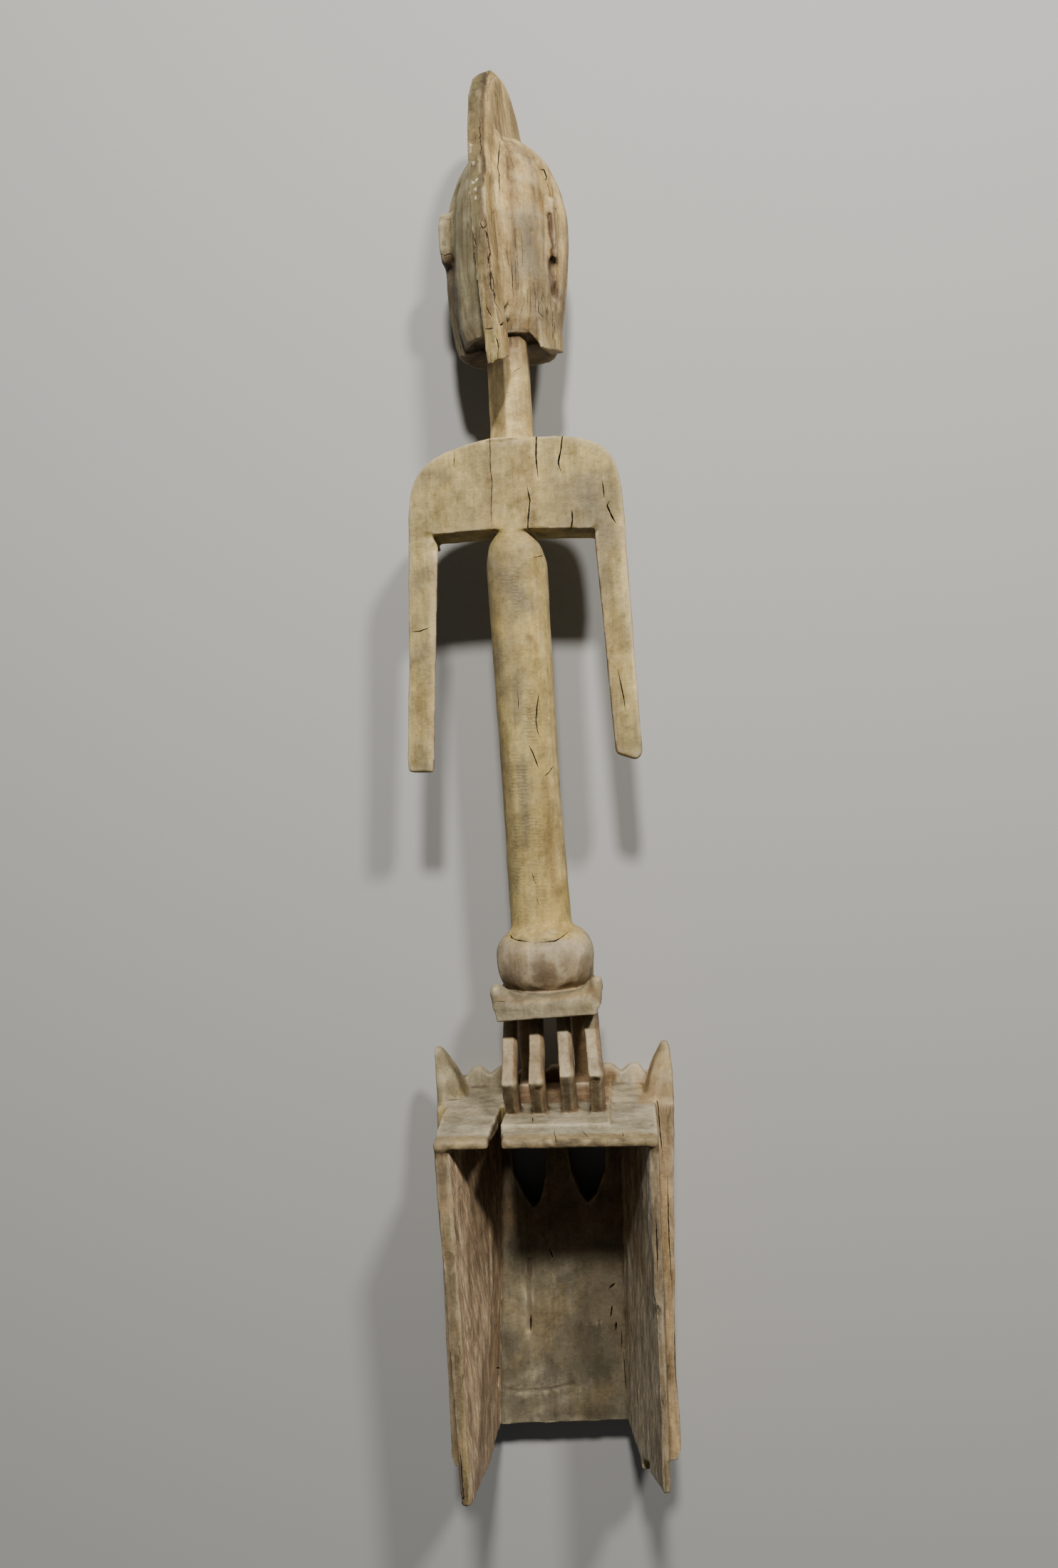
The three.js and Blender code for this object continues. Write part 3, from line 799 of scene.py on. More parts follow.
# %% Tool marks
WAVE = 1.4 * MM  # height of the long swells
SCOOP_DEPTH = 1.5 * MM
SCOOP_SIZE = 17 * MM
WEATHER_DEPTH = 3.2 * MM
STROKE_DEPTH = 1.3 * MM
SCOOP_SHIFT = (0.012, 0.012, 0.012)  # metres; keeps the scoops from lying in rows
SCOOP_SHIFTS = 30  # a metre
SCOOP_DRAW = 0.62  # scoops are longer than wide
SWELL_PATTERN = (24, 2, 0.5, 0.4)  # numbers as in PATTERNS
FIBRE_PATTERN = (210, 4, 0.65, 0.12)
TORN_PATTERN = (90, 3, 0.6, 0.4)
STROKE_CELLS = (95, 0.16)  # as in CRACKLE
# Each level is taken off its pattern, so that the marks hardly lift or sink the skin as a whole.
SWELL_LEVEL = 0.5
FIBRE_LEVEL = 0.55
SCOOP_LEVEL = 0.18
STROKE_LEVEL = 0.2
g = Wiring(tree)
given = tree.nodes.new("NodeGroupInput").outputs
where = g.node("GeometryNodeInputPosition")
swell = g.maths("SUBTRACT", g.noise(where, *SWELL_PATTERN), SWELL_LEVEL)
shift = g.stretch(g.noise(where, SCOOP_SHIFTS, 1, out="Color"), *SCOOP_SHIFT)
scoop_scale = g.maths("DIVIDE", 1, given["Scoop size"])
scoop = g.maths("POWER", g.cells(g.vector("ADD", where, shift), scoop_scale, SCOOP_DRAW), 2)
fibre = g.maths("SUBTRACT", g.noise(where, *FIBRE_PATTERN), FIBRE_LEVEL)
torn = g.maths("SUBTRACT", g.noise(where, *TORN_PATTERN), FIBRE_LEVEL)
stroke = g.maths("POWER", g.cells(g.turn(where, (1, 0, 0), STROKE_LEAN), *STROKE_CELLS), 2)
lift = g.add(
    g.times(swell, given["Wave"]),
    g.times(g.maths("SUBTRACT", scoop, SCOOP_LEVEL), given["Scoop depth"], g.read("scooped")),
    g.times(g.add(fibre, torn), given["Weather depth"], g.read("weathered")),
    g.times(g.maths("SUBTRACT", stroke, STROKE_LEVEL), given["Stroke depth"], g.read("slanted")),
)
offset = g.vector("SCALE", g.node("GeometryNodeInputNormal"), lift)
finish_tree(g, g.node("GeometryNodeSetPosition", given["Geometry"], None, None, offset), wood)
skin = run_tree(
    mask, tree, wave=WAVE, scoop_depth=SCOOP_DEPTH, scoop_size=SCOOP_SIZE,
    weather_depth=WEATHER_DEPTH, stroke_depth=STROKE_DEPTH,
)
points = read_points(skin)
points[:, 2] = np.maximum(points[:, 2], 0)  # what lies on the table is worn flat
write_points(skin, points)
print("tool marks moved the box to, mm:", [round(v / MM) for v in mask.dimensions])

# %% [markdown]
# The even skin has far more faces than a flat wall needs. Collapsing its edges keeps them where
# the surface bends, and leaves room for the cracks under the limit on triangles.

# %% Thin the skin
SKIN_TRIANGLES = 168000


def triangles(mesh):
    """How many triangles the faces of a mesh come to."""
    return sum(len(p.vertices) - 2 for p in mesh.polygons)


thin = mask.modifiers.new("thin", "DECIMATE")
thin.ratio = SKIN_TRIANGLES / triangles(skin)
skin = evaluated(mask)
print("thinned to", triangles(skin), "triangles")

# %% [markdown]
# Drying has split the wood along its grain. A crack is a deep narrow cut, so it is made as one:
# a blade with a kite-shaped section is swept along each crack's course and cut out of the skin.
# The courses were read off the photograph, and are dropped on to the nearest skin as those of the
# grooves were. A crack that runs out over an edge keeps its full width at that end, and every
# other end is thin.

# %% Courses of the cracks
CLOSED = (False, False)
OPEN_START = (True, False)
OPEN_END = (False, True)
CRACKS = (  # half width, course, and which end runs out over an edge
    # crest, head and neck
    (0.35, ((-6, 848, 105), (-6, 835, 113), (-7, 813, 122), (-6, 795, 126), (-7, 778, 128))),
    (0.55, ((26, 832, 96), (31, 824, 97), (36, 811, 98), (39.5, 796, 98), (41, 782, 99))),
    (0.3, ((-14, 858, 137), (-15, 840, 143), (-15, 820, 147))),
    (0.35, ((-15, 752, 152), (-14, 718, 154), (-11, 690, 153))),
    (0.5, ((35, 722, 100), (34, 712, 100), (33, 695, 99), (30, 684, 100), (29, 669, 95)), OPEN_END),
    (0.3, ((2, 735, 127), (1, 715, 126), (2, 700, 126))),
    (0.3, ((26, 716, 112), (25, 702, 112), (27, 690, 111), (26, 678, 110))),
    (0.3, ((22, 705, 115), (22, 690, 114), (24, 680, 113))),
    (0.3, ((-20, 761, 149), (-22, 757, 148), (-20, 752, 149), (-17, 753, 150), (-17, 759, 149))),
    (0.45, ((-18, 750, 150), (-16, 744, 151), (-15, 738, 150))),
    (0.5, ((-28, 746, 147), (-26, 739, 148))),
    (0.5, ((-18, 733, 152), (-15, 716, 153), (-14, 700, 154), (-11, 690, 150), (-8, 680, 146))),
    (0.4, ((-22, 667, 151), (-18, 666, 152), (-14, 666, 153))),
    (0.55, ((-11, 668, 150), (-6, 675, 142))),
    (0.35, ((-20, 686, 152), (-15, 675, 153))),
    (0.35, ((-12, 637, 153), (-11, 650, 153), (-13, 662, 153)), OPEN_START),
    (0.25, ((-3, 641, 115), (5, 646, 113))),
    # yoke
    (0.3, (
        (-24, 583, 124), (-25, 557, 125), (-24, 544, 125), (-26, 522, 125), (-26, 502, 124),
    ), OPEN_START),
    (0.55, ((16, 583, 124), (15, 564, 125), (16, 546, 125)), OPEN_START),
    (0.55, ((39, 583, 124), (36, 566, 125), (34, 558, 125), (36, 549, 125)), OPEN_START),
    (0.5, ((6, 541, 125), (8, 527, 125), (6, 514, 125), (5, 501, 124)), OPEN_END),
    (0.5, ((44, 518, 125), (44, 509, 125), (42, 498, 124)), OPEN_END),
    (0.4, ((71, 541, 125), (72, 524, 125))),
    (0.6, ((77, 523, 125), (74, 519, 125), (77, 511, 125), (81, 503, 125))),
    (0.25, ((-55, 574, 125), (-57, 560, 125))),
    (0.6, ((-27, 505, 123), (-22, 500, 124))),
    (0.5, ((9, 504, 123), (5, 499, 124))),
    # trunk and arms
    (0.3, ((7, 478, 121), (17, 482, 110))),
    (0.4, ((-101, 420, 125), (-93, 420, 125), (-84, 423, 125))),
    (0.25, ((-10, 364, 125), (-10, 346, 125))),
    (0.5, ((8.6, 363, 122), (6, 350, 123), (4.4, 338, 123), (5.4, 330, 123), (7.2, 322, 123))),
    (0.4, ((77, 380, 125), (79, 366, 125), (81, 354, 125), (82, 342, 125))),
    (0.45, ((-2.8, 317, 124), (0.6, 310, 124), (3, 303, 124), (5, 296, 124))),
    (0.4, ((8, 289, 121), (13, 292, 120), (19, 298, 116))),
    (0.25, ((-5, 207, 125), (-3, 200, 125), (-1, 195, 125))),
    (0.25, ((-2, 186, 125), (0, 178, 125))),
    # hips, seat and plate
    (0.5, ((-27, 154, 118), (-24, 151, 130), (-18, 150, 138), (-8, 149, 143))),
    (0.45, ((-5, 148, 144), (5, 148, 144), (14, 149, 142), (20, 152, 137), (26, 156, 126))),
    (0.25, ((-38, 104, 165), (-28, 103, 165))),
    (0.25, ((-11, 3, 156), (-10, 1, 170))),
    (0.25, ((9, 1, 180), (9, 0, 191), (12, 0, 206)), OPEN_END),
    (0.22, ((31, 0, 182), (34, 0, 193), (38, 0, 203))),
    (0.22, ((64, 0, 188), (65, 0, 202))),
    (0.3, ((-94, 3, 99), (-80, 1, 91))),
    # right shoulder and left wall
    (0.4, ((95, 0, 103), (96, -23, 103), (98, -52, 103)), OPEN_START),
    (0.5, ((-59, -184, 106), (-59, -196, 99))),
    (0.5, ((-59, -205, 86), (-60, -213, 79), (-60, -222, 71))),
    (0.5, ((-62, -254, 69), (-62, -267, 44))),
    # panel
    (0.9, ((-32, -220, 38), (-33, -236, 38))),
    (0.7, ((-11, -157, 38), (-8, -166, 38))),
    (0.8, ((43, -196, 38), (50, -190, 38))),
    (0.8, ((46, -211, 38), (44, -222, 38))),
    (0.8, ((49, -227, 38), (48, -236, 38))),
    (0.4, ((54, -233, 38), (53, -252, 38))),
    (0.45, ((55, -254, 38), (55, -267, 38), (56, -298, 38))),
    # walls and shoulders
    (0.6, ((80, -127, 186), (79, -146, 190))),
    (0.4, ((101, -60, 103), (100, -130, 103), (101, -170, 103))),
    (0.35, ((102, -190, 103), (101, -255, 103))),
    (0.5, ((-78, -250, 201), (-77, -290, 201), (-77, -312, 180)), OPEN_END),
    (0.4, ((88, -60, 201), (87, -112, 201))),
)
print("drawn cracks:", len(CRACKS))

# %% Cracks on the skin


def steady(normals, reach=3):
    """Each normal as the mean of those around it, so that a blade doesn't twist."""
    return [
        sum((n for n in normals[max(0, i - reach) : i + reach + 1]), Vector()).normalized()
        for i in range(len(normals))
    ]


hull = surface(skin)
courses = [
    (half_width, ends[0] if ends else CLOSED, drop(hull, path)) for half_width, path, *ends in CRACKS
]
print("points along the drawn cracks:", sum(len(course) for _, _, course in courses))

# %% [markdown]
# The finer checks start at seeded places all over the skin and run a little way along the grain.
# One that would lie on end grain, turn over an edge, jump to another part or come near another
# crack is left out. So is one on the photographed back, because every crack there is drawn.

# %% Fine checks
CHECKS = 44
CHECK_SEED = 11
CHECK_LENGTH = (10, 46)  # mm, as are the half width and the wander
CHECK_SWAY = (-0.05, 0.05)  # how far it leans, as a share of its length
CHECK_HALF_WIDTH = (0.14, 0.26)
CHECK_WANDER = 0.5
CHECK_STOPS = 4
CLEAR_OF_CRACKS = 5  # mm
END_GRAIN = 0.5  # how squarely a face may look along the grain
SAME_FACE = 0.8  # cosine of the turn from one place to the next
BACK_LOOK = 0.3  # how far a face may look up at the camera

dice = np.random.default_rng(CHECK_SEED)
taken = np.array([p for _, _, course in courses for p, _ in course]) / MM - HOME
skin_points = read_points(skin)
steps = np.linspace(0, 1, CHECK_STOPS)[:, None]
while len(courses) < len(CRACKS) + CHECKS:
    start = skin_points[dice.integers(len(skin_points))]
    length = dice.uniform(*CHECK_LENGTH)
    sway = dice.uniform(*CHECK_SWAY)
    half_width = dice.uniform(*CHECK_HALF_WIDTH)
    wander = dice.normal(0, CHECK_WANDER, (CHECK_STOPS, 1)) * (1, 0, 0)
    course = drop(hull, start + steps * length * np.array((sway, -1, 0)) + wander)
    spots = np.array([p for p, _ in course]) / MM - HOME
    looks = np.array([n for _, n in course])
    gap = np.linalg.norm(spots[:, None] - taken[None], axis=2).min()
    strayed = np.linalg.norm(np.diff(spots, axis=0), axis=1).max() > 2 * STEP
    turned_over = min(a[1].dot(b[1]) for a, b in zip(course[:-1], course[1:])) < SAME_FACE
    unfit = np.abs(looks[:, 1]).max() > END_GRAIN or looks[:, 2].max() > BACK_LOOK
    if gap < CLEAR_OF_CRACKS or strayed or turned_over or unfit:
        continue
    courses.append((half_width, CLOSED, course))
    taken = np.vstack((taken, spots))
print("all cracks:", len(courses))

# %% Lines for the blades
THIN_END = 0.15  # share of the full width at a closed end
TAPER = 0.35  # share of the course over which it widens

line_points = []
line_edges = []
inward = []
half_widths = []
for half_width, (start_open, end_open), course in courses:
    base = len(line_points)
    for i, look in enumerate(steady([n for _, n in course])):
        share = i / (len(course) - 1)
        from_start = 1 if start_open else THIN_END + share / TAPER
        from_end = 1 if end_open else THIN_END + (1 - share) / TAPER
        line_points.append(course[i][0])
        inward.append(-look)
        half_widths.append(half_width * min(1, from_start, from_end) * MM)
    line_edges += [(base + i, base + i + 1) for i in range(len(course) - 1)]
line_mesh = bpy.data.meshes.new("crack_lines")
line_mesh.from_pydata(line_points, line_edges, [])
store(line_mesh, "half_width", np.array(half_widths))
layer = line_mesh.attributes.new("inward", "FLOAT_VECTOR", "POINT")
layer.data.foreach_set("vector", np.array(inward, np.float32).ravel())
blades = bpy.data.objects.new("crack_blades", line_mesh)
bpy.context.scene.collection.objects.link(blades)
print("points along all the cracks:", len(line_points))

# %% Crack blades
KITE = ((9, 0, 0), (0, 1, 0), (-7, 0, 0), (0, -1, 0))  # half widths: deep, aside, out, aside
BLADE_WOBBLE = 0.9 * MM
BLADE_WOBBLES = 90  # a metre
BLADE_SWELLS = 200  # a metre
BLADE_WIDTHS = (0.9, 1.5)  # shares of the half width that it swells between
BLADE_STEP = 1.5 * MM
tree = new_tree("crack blades", "Wobble", "Step")
g = Wiring(tree)
given = tree.nodes.new("NodeGroupInput").outputs
lines = g.node("GeometryNodeMeshToCurve", given["Geometry"])
resampled = g.node("GeometryNodeResampleCurve", lines, None, given["Step"], mode="LENGTH")
where = g.node("GeometryNodeInputPosition")
shake = g.vector("SUBTRACT", g.noise(where, BLADE_WOBBLES, out="Color"), (0.5, 0.5, 0.5))
push = g.vector("SCALE", shake, given["Wobble"])
shaken = g.node("GeometryNodeSetPosition", resampled, None, None, push)
depthwise = g.node("GeometryNodeInputNamedAttribute", "inward", data_type="FLOAT_VECTOR")
aimed = g.node("GeometryNodeSetCurveNormal", shaken, None, depthwise, mode="FREE")
kite = g.node("GeometryNodeCurvePrimitiveQuadrilateral", mode="POINTS")
for number, corner in enumerate(KITE, 1):
    kite.node.inputs[f"Point {number}"].default_value = corner
swelling = g.ramp(g.noise(where, BLADE_SWELLS, 1), 0.3, 0.7, *BLADE_WIDTHS)
width = g.times(g.read("half_width"), swelling)
finish_tree(g, g.node("GeometryNodeCurveToMesh", aimed, kite, width, True), crack_shade)
blade_mesh = run_tree(blades, tree, wobble=BLADE_WOBBLE, step=BLADE_STEP)
print("blades:", triangles(blade_mesh), "triangles")

# %% Cut the cracks


def open_edges(mesh):
    """How many edges don't join exactly two faces."""
    work = bmesh.new()
    work.from_mesh(mesh)
    count = sum(not e.is_manifold for e in work.edges)
    work.free()
    return count


print("open edges, skin and blades:", open_edges(skin), open_edges(blade_mesh))
cut = mask.modifiers.new("cut", "BOOLEAN")
cut.operation = "DIFFERENCE"
cut.solver = "MANIFOLD"
cut.object = blades
cut.material_mode = "TRANSFER"
skin = evaluated(mask)
bpy.data.objects.remove(blades)
print("with cracks:", triangles(skin), "triangles, open edges:", open_edges(skin))
print("materials:", [m.name for m in skin.materials])

# %% [markdown]
# Now the regions get their tones. The colours were chosen against the photograph, and each
# one fades into the next. A coat of colour is laid where its shares are high, and later coats
# cover earlier ones, so the broad tones come first.

# %% Colours by name
TAN = (0.44, 0.355, 0.150)
HAZEL = (0.51, 0.385, 0.175)
OLIVE = (0.24, 0.205, 0.10)
MOSS = (0.36, 0.335, 0.215)
HONEY = (0.68, 0.52, 0.235)
OCHRE_TONE = (0.50, 0.385, 0.135)
ASH = (0.38, 0.345, 0.25)
MAUVE = (0.38, 0.315, 0.22)
BLEACHED = (0.40, 0.335, 0.225)
RUSSET = (0.46, 0.335, 0.185)
BARK = (0.33, 0.25, 0.155)
ROSE_PAINTED_LIGHT = (0.74, 0.57, 0.40)
TAUPE_PAINTED_LIGHT = (0.74, 0.73, 0.64)
UMBER = (0.19, 0.172, 0.122)
DARK_UMBER = (0.07, 0.048, 0.025)
RUST = (0.13, 0.06, 0.025)
PEAT = (0.20, 0.125, 0.07)
BUFF_HIGHLIGHT = (0.68, 0.54, 0.28)
LIP_BROWN = (0.28, 0.205, 0.095)
SIDE_BROWN = (0.47, 0.355, 0.21)
SMOKE = (0.175, 0.15, 0.10)
EARTH = (0.25, 0.17, 0.075)
CHALK = (0.86, 0.82, 0.72)
SOOT = (0.10, 0.092, 0.07)
BALL_UNDERSIDE_SHADE = (0.15, 0.10, 0.06)
CREST_OLIVE = (0.125, 0.108, 0.047)
SEAT_GREY = (0.245, 0.215, 0.153)

points = read_points(skin)
normals = read_normals(skin)
tone = np.tile(TAN, (len(points), 1))
print("points to paint:", len(points))

# %% Tones of the woman


def paint(colour, *shares):
    """Blends a colour into the tone by the product of the shares."""
    share = np.ones(len(points))
    for factor in shares:
        share = share * factor
    tone[:] += (np.array(colour) - tone) * share[:, None]


def within(x=None, y=None, z=None, soft=4):
    """The share of each point of the skin that is inside the limits given."""
    return region(points, x, y, z, soft)


x, y, z = points.T
head = rise(y, 660, 672) * (z > 20)
behind = rise(z, 60, 80)
crest_middle = (
    CREST_PIVOT[0] - math.tan(CREST_TURN) * (z - CREST_PIVOT[2])
    - math.tan(CREST_LEAN) * (y - CREST_PIVOT[1])
)
paint(HAZEL, head, behind)
paint(MOSS, head, rise(crest_middle - x, 2, 8))  # left of the crest
paint(MOSS, within((-66, -48), (745, 805), (70, 120)))  # left ear
# Painted shadow: the left ear's shadow on the face band below it is painted in umber.
paint(UMBER, within((-66, -40), (660, 750), (40, 100), soft=6))  # under it
paint(HAZEL, crest_right(points, normals))
paint(CREST_OLIVE, crest_back(points, normals), 0.3 + 0.65 * rise(y, 690, 740))
paint(HONEY, within((-32, 16), (584, 666), (60, 140)))  # neck
# Painted shade: the top of the neck, under the overhanging head, is painted dark red-brown.
paint(RUST, within((-32, 14), (652, 676), (60, 140), soft=8), 0.6)  # its shaded top
# Painted shade: the head's underside, which looks away from the lamps, is painted dark.
paint(DARK_UMBER, head, facing(normals, (0, -1, 0), 0.3, 0.6))  # lower edge of the head
paint(OCHRE_TONE, within((-34, 34), (152, 480), soft=2), rise(x, -12, 14))  # trunk
print("woman's mean tone:", np.round(tone[y > 152].mean(0), 3))

# %% Tones of the stool and the plate
BALL_MIDDLE = (2.5, 128, 108)
BALL_RADII = (45, 31, 43)
UNDERCUT = (0, -1, 0.9)  # the way that the posts' undercuts look
upward = facing(normals, (0, 0, 1))
seat = within((-42, 54), (86, 122), (70, 170), soft=2)
paint(ASH, seat, 0.5)
paint(OLIVE, seat, 0.35)
paint(OCHRE_TONE, within((30, 54), (86, 122), (140, 170), soft=5), 0.6)
paint(BLEACHED, within((-40, 56), (3, 88), (120, 180), soft=2), facing(normals, (0, 0.3, 1)))  # posts
paint(PEAT, within((-42, 4), (3, 86), (120, 180), soft=10), 0.3)
paint(SEAT_GREY, within((-42, 54), (86, 122), (70, 180), soft=2), 0.75)
ball_distance = np.linalg.norm((points - BALL_MIDDLE) / BALL_RADII, axis=1)
ball = (1 - rise(ball_distance, 1.05, 1.12)) * (1 - rise(y, 149, 150.5))
paint(MAUVE, ball)  # the hips
# Painted shade on the underside of the hips, above the seat.
paint(BALL_UNDERSIDE_SHADE, ball, facing(normals, (0, -1, 0.5), 0.05, 0.7), 0.95)
paint(SEAT_GREY, within((-112, 114), (0, 50), (30, 112), soft=3), 0.5 * rise(np.abs(x), 74, 82))
undercut = facing(normals, UNDERCUT, 0.55, 0.8)
# Painted shade in the undercuts below the posts' knees.
paint(DARK_UMBER, within((-42, 58), (3, 84), (90, 175), soft=2), undercut)
paint(ASH, within((-100, 110), (-2, 22), (20, 210), soft=2), facing(normals, (0, 1, 0)))  # plate
paint(ASH, within((-90, 92), (-2, 22), (30, 60), soft=2))  # comb
paint(ASH, within((-94, 94), (-12, 2), (170, 210), soft=2))
paint(RUSSET, within((80, 112), (0, 46), (50, 110)))  # right horn
paint(OLIVE, within((98, 112), (0, 46), (50, 110)), 0.5)
paint(UMBER, within((-108, -86), (0, 46), (50, 110)), 0.45)  # left horn
print("mean tone so far:", np.round(tone.mean(0), 3))

# %% Tones of the box
paint(BARK, within((-112, -76), (-330, -8), (60, 206), soft=2))  # outer sides
paint(BARK, within((82, 97), (-330, -8), (107, 206), soft=2))
under_seat = within((-42, 58), (3, 84), (40, 165), soft=2)
# Painted shade on the posts' sides, and below them on what lies deep under the seat.
paint(PEAT, under_seat, np.clip(np.abs(normals[:, 0]) * 1.2, 0, 1))
paint(PEAT, within((-42, 58), (3, 92), (40, 112), soft=3))
# Painted highlight along the right side of the trunk.
paint(BUFF_HIGHLIGHT, within((10, 34), (200, 480), (60, 112), soft=3), 0.5)  # right side of the trunk
lip = within((-94, 96), (-14, 0), (192, 210), soft=2)
paint(LIP_BROWN, lip, 0.75)
in_split = within((-44, -28), (-16, 26), (140, 212), soft=2)
paint(DARK_UMBER, in_split, rise(np.abs(normals[:, 0]), 0.3, 0.7), 0.8)
paint(BARK, within((-120, -88), (-335, 0), (-9, 60), soft=8), 0.85)  # sides of the face block
paint(SIDE_BROWN, within((88, 120), (-335, 0), (-9, 60), soft=8), 0.85)
paint(SIDE_BROWN, within((93, 112), (-330, 0), (60, 106), soft=2))
# Painted light: the inner faces of the walls, in their own rose and grey, are made much lighter to
# stand for light that reaches them.
paint(ROSE_PAINTED_LIGHT, wall_inside(points, normals, -1))
paint(TAUPE_PAINTED_LIGHT, wall_inside(points, normals, 1))
paint(UMBER, within((-70, 66), (-330, -8), (30, 46), soft=2), upward)  # panel
# Painted shadow of the top plate on the upper panel and the walls beside it.
paint(PEAT, within((-76, 76), (-128, -28), (30, 150), soft=18), 0.5)  # its shaded top
paint(UMBER, within(y=(-330, -10), z=(196, 203), soft=3), upward, 0.35)  # edges of the walls
front = facing(normals, (0, 0, -1), 0.2, 0.6) * (1 - rise(z, 60, 80))
paint(UMBER, front, 0.6)
print("mean tone so far:", np.round(tone.mean(0), 3))

# %% [markdown]
# Finer marks are streaks of one colour: rust in the broken hollows, the dark line down the crest,
# old smoke and soot, marks of the adze on the plate's lip, and painted highlights along the arms'
# bevels and the trunk's right edge. Each follows a course on the skin as a groove does, and fades
# out on both sides. Small pale specks are strewn by a seeded loop along the crest's left edge.

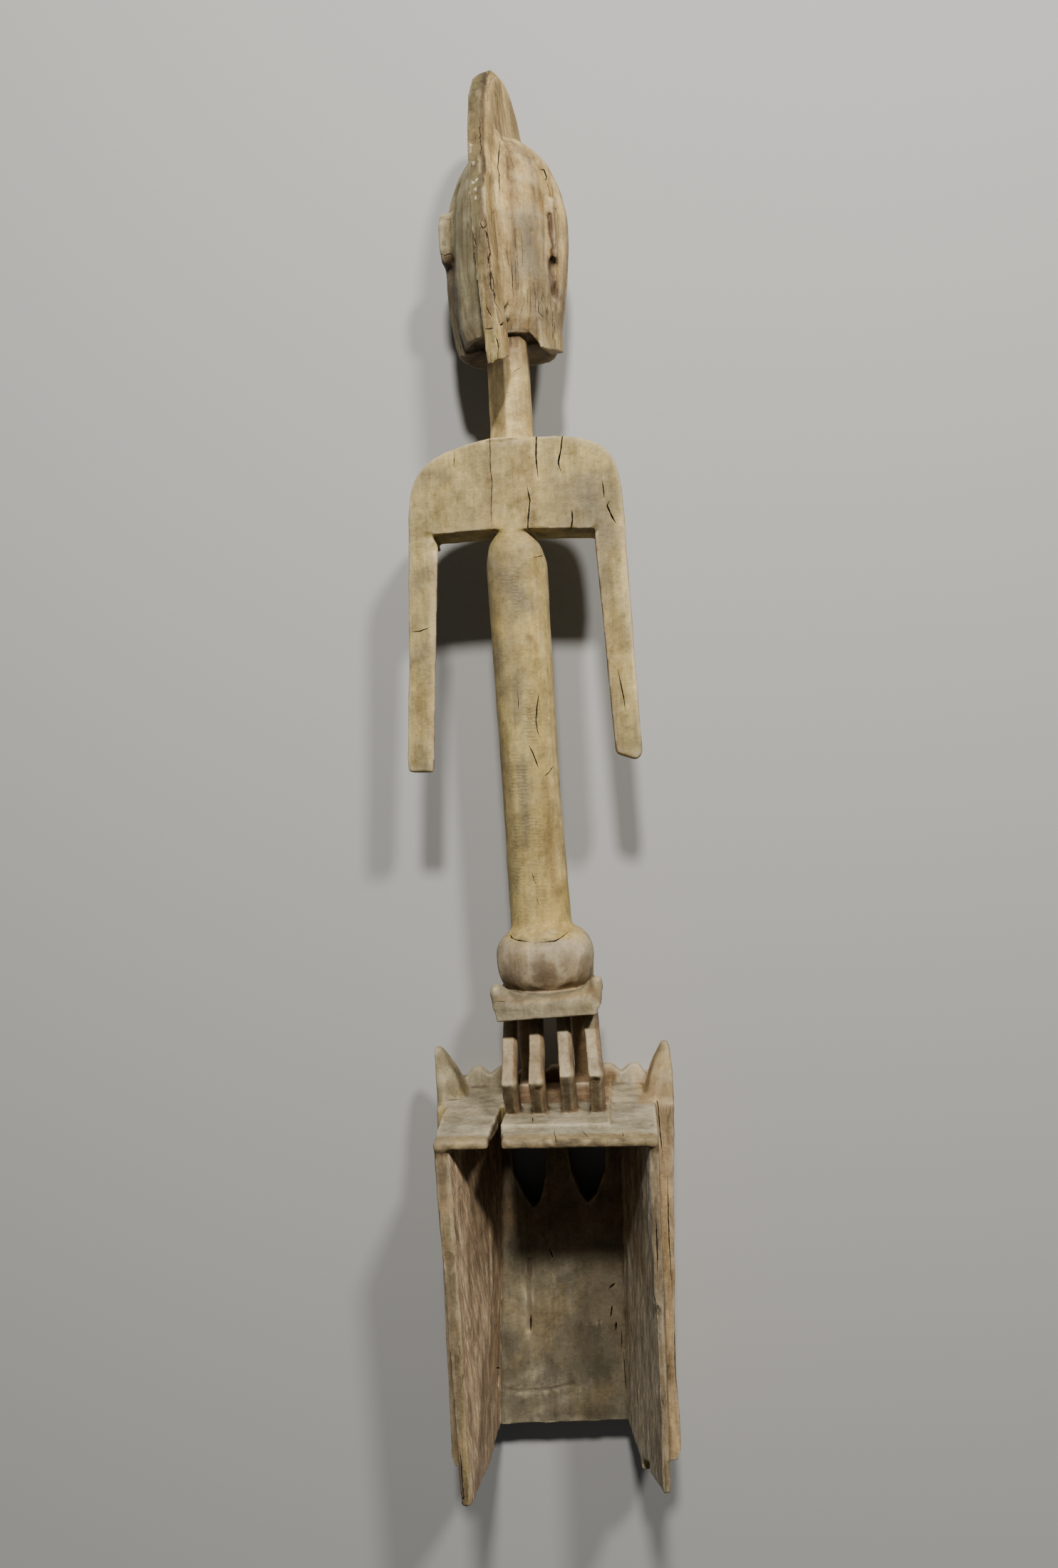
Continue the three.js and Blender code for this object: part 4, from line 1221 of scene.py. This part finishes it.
# %% Streaks
CREST_LINE = ((-14, 918, 98), (-18, 885, 115), (-18, 855, 128), (-17, 826, 140), (-16, 795, 148))
STREAKS = (  # colour, share, half width and course
    # head
    (RUST, 0.85, 4.5, ((35, 776, 106), (35.5, 762, 106), (36.5, 743, 106))),
    (RUST, 1, 7, ((36.5, 740, 103), (37, 728, 102), (39, 712, 98))),
    (RUST, 1, 6, ((-52, 757, 88), (-52, 749, 86))),
    (DARK_UMBER, 1, 3.6, CREST_LINE),
    (PEAT, 0.75, 3, ((-20, 770, 149), (-17, 740, 151), (-14, 700, 153), (-10, 672, 150))),
    (EARTH, 0.7, 4, ((1, 850, 108), (3, 800, 124), (4, 740, 128), (3, 684, 126))),
    (EARTH, 0.54, 3.5, ((17, 836, 104), (21, 790, 117), (22, 740, 118), (21, 680, 116))),
    (SMOKE, 0.7, 7, ((14, 770, 123), (16, 745, 123), (18, 728, 121))),
    (EARTH, 0.78, 5, ((-2, 672, 126), (14, 671, 122), (24, 676, 114))),
    (SMOKE, 0.78, 9, ((-32, 700, 110), (-30, 680, 105))),
    # yoke and arms
    (SMOKE, 0.65, 13, ((55, 533, 125), (66, 507, 125), (72, 486, 125))),
    (SMOKE, 0.46, 8, ((24, 565, 125), (28, 535, 125))),
    (EARTH, 0.46, 5, ((-27, 578, 125), (-27, 505, 125))),
    (EARTH, 0.39, 6, ((4, 575, 125), (2, 505, 125))),
    (SMOKE, 0.43, 7, ((-98, 545, 125), (-80, 556, 125), (-60, 552, 125))),
    (SMOKE, 0.62, 6, ((-102, 455, 125), (-90, 466, 125), (-76, 476, 125))),
    (SMOKE, 0.62, 7, ((-104, 392, 125), (-92, 403, 125), (-80, 414, 125))),
    (EARTH, 0.46, 8, ((-98, 352, 125), (-94, 334, 125))),
    (SMOKE, 0.5, 7, ((-97, 318, 125), (-93, 300, 125))),
    (EARTH, 0.54, 3, ((-74, 486, 125), (-80, 392, 125), (-87, 305, 125))),
    (PEAT, 0.6, 2.4, ((61, 490, 124), (66, 430, 124), (71, 350, 124), (76, 306, 124))),
    (SMOKE, 0.46, 8, ((68, 470, 125), (72, 440, 125))),
    (EARTH, 0.46, 6, ((76, 384, 125), (80, 352, 125))),
    # trunk
    (SMOKE, 0.62, 9, ((-28, 474, 120), (-12, 452, 124), (4, 438, 124))),
    (SMOKE, 0.54, 6, ((-26, 412, 118), (-25, 388, 118), (-23, 362, 118))),
    (SMOKE, 0.54, 5, ((-11, 372, 124), (-10, 352, 124), (-12, 338, 124))),
    (EARTH, 0.85, 4, ((2, 410, 124), (7, 402, 123))),
    (EARTH, 0.46, 7, ((10, 284, 122), (13, 233, 122), (16, 190, 121))),
    (EARTH, 0.54, 5, ((8, 233, 123), (12, 202, 122), (18, 182, 120))),
    (SMOKE, 0.43, 5, ((-22, 300, 120), (-20, 240, 120), (-19, 190, 120))),
    # seat
    (EARTH, 0.78, 3, ((-34, 106, 165), (-16, 103, 165), (14, 108, 165), (46, 111, 165))),
    (PEAT, 0.6, 4, ((38, 120, 166), (52, 96, 160))),
    # lip of the plate
    (DARK_UMBER, 0.95, 4.5, ((12, -3, 204), (20, -4, 204))),
    (DARK_UMBER, 0.85, 3, ((2, 0, 204), (7, -9, 204))),
    (DARK_UMBER, 0.85, 3, ((25, 0, 204), (31, -9, 204))),
    (DARK_UMBER, 0.8, 3, ((-17, 0, 204), (-10, -10, 204))),
    (DARK_UMBER, 0.7, 2.6, ((-31, -2, 204), (-25, -10, 204))),
    (DARK_UMBER, 0.75, 3, ((39, 0, 204), (49, -10, 204))),
    (DARK_UMBER, 0.7, 3, ((63, 0, 204), (73, -9, 204))),
    (DARK_UMBER, 0.6, 2.6, ((-82, -1, 204), (-72, -9, 204))),
    (DARK_UMBER, 0.6, 2.6, ((-60, -1, 204), (-54, -9, 204))),
    # panel
    (SOOT, 0.6, 18, ((-20, -232, 38), (-3, -268, 38))),
    (SOOT, 0.6, 15, ((24, -236, 38), (38, -290, 38))),
    (SOOT, 0.5, 12, ((2, -190, 38), (22, -200, 38))),
    (SOOT, 0.45, 10, ((-50, -304, 38), (10, -312, 38), (40, -316, 38))),
    (SOOT, 0.4, 9, ((-56, -240, 38), (-52, -262, 38))),
    # painted highlights along the arms' bevels and the trunk's right edge, and marks that lie over the
    # others
    (BUFF_HIGHLIGHT, 0.75, 3.6, (
        (-77, 490, 125), (-81, 435, 125), (-84, 386, 125), (-86.5, 349, 125), (-89, 306, 125),
    )),
    (BUFF_HIGHLIGHT, 0.9, 3.6, (
        (84, 505, 124), (87, 462, 124), (89.5, 414, 124), (93, 364, 124), (96, 322, 124),
    )),
    (BUFF_HIGHLIGHT, 0.45, 5, ((12, 460, 122), (15, 380, 121), (19, 300, 120), (22, 200, 119))),
    (SMOKE, 0.62, 6, ((-10, 300, 124), (-8, 262, 124), (-10, 230, 124))),
    (OLIVE, 0.4, 7, ((-26, 345, 118), (-24, 300, 118))),
    (EARTH, 0.78, 3, ((12, 560, 125), (13, 530, 125), (10, 505, 125))),
    (ASH, 0.5, 3.5, ((-58, -288, 38), (-44, -278, 38), (-24, -274, 38))),
    (ASH, 0.5, 3, ((-38, -182, 38), (-36, -210, 38), (-36, -237, 38))),
    (ASH, 0.35, 4, ((-40, -318, 38), (-5, -300, 38), (23, -286, 38))),
)
for colour, share, half_width, path in STREAKS:
    away = off_course(points, hull, path) / half_width
    paint(colour, share * (1 - rise(away, 0.25, 1.25)))
print("streaks:", len(STREAKS))

# %% White specks
SPECKS = 26
SPECK_SEED = 5
SPECK_RADIUS = (0.8, 1.3)
SPECK_SCATTER = 1.0
SPECK_LINE = np.array(((-29, 842, 129), (-27, 814, 137), (-26, 796, 140), (-25, 780, 144)), float)
speck_dice = np.random.default_rng(SPECK_SEED)
for _ in range(SPECKS):
    leg = speck_dice.integers(len(SPECK_LINE) - 1)
    middle = SPECK_LINE[leg] + speck_dice.random() * (SPECK_LINE[leg + 1] - SPECK_LINE[leg])
    middle = middle + speck_dice.normal(0, SPECK_SCATTER, 3)
    away = np.linalg.norm(points - middle, axis=1) / speck_dice.uniform(*SPECK_RADIUS)
    paint(CHALK, 1 - rise(away, 0.5, 1.2))
print("mean tone:", np.round(tone.mean(0), 3))

# %% [markdown]
# Edges that stand proud are rubbed pale, and corners where dust gathers are grimy. How far a point
# stands proud is measured as its distance from a smoothed copy of the skin. The lips of the cracks
# are left out, since they would all come out pale.

# %% Rubbed edges, grime and stains
PROUD_ROUNDS = 14
STAIN_BASE = 0.30
STAINS = (  # how much is added, limits along x, y and z, and their soft margin
    (0.4, (-34, -4), (270, 480), (60, 130), 10),
    (0.5, (40, 75), (500, 545), (110, 130), 14),
    (0.9, (8, 30), (724, 780), (90, 135), 10),
    (0.6, (22, 36), (684, 712), (90, 135), 10),
    (0.8, (-15, 60), (-250, -150), (30, 46), 20),
)
SHARP_ANGLE = math.radians(55)
smoothed = relax(skin, points, np.full(len(points), HALFWAY), PROUD_ROUNDS)
proud = ((points - smoothed) * normals).sum(1)
crack_spots = KDTree(len(taken))
for i, spot_of_crack in enumerate(taken):
    crack_spots.insert(spot_of_crack, i)
crack_spots.balance()
off_crack = np.array([crack_spots.find(p)[2] for p in points])
proud *= rise(off_crack, 2, 5)
in_crest_line = 1 - rise(off_course(points, hull, CREST_LINE), 2, 6)
stains = np.full(len(points), STAIN_BASE)
for share, *limits in STAINS:
    stains += share * within(*limits)
store(skin, "tone", tone)
store(skin, "rubbed", rise(proud, 0.25, 1.3) * (1 - 0.75 * lip) * (1 - 0.9 * in_crest_line))
store(skin, "grimy", rise(-proud, 0.3, 1.5))
store(skin, "stained", np.clip(stains, 0, 1))
print("proud, mm:", np.round(np.percentile(proud, (1, 50, 99)), 2))

# %% [markdown]
# Thinning and cutting have blurred the shares that were stored on the skin. Weathering, strokes and
# rasping, which the wood's relief reads, are stored afresh; those only the trees needed are taken off.

# %% Marks on the finished skin
for name in ("weathered", "slanted", "rasped", "scooped", "half_width", "inward"):
    if name in skin.attributes:
        skin.attributes.remove(skin.attributes[name])
finished = marks(points, normals)
for name in ("weathered", "slanted", "rasped"):
    store(skin, name, finished[name])
for polygon in skin.polygons:
    polygon.use_smooth = True
skin.set_sharp_from_angle(angle=SHARP_ANGLE)
print("stored on the skin:", sorted(name for name in skin.attributes.keys() if name[0] != "."))

# %% Attach the mask and hide the solid
bpy.context.view_layer.update()
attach(mask, "root")
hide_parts(NODE)
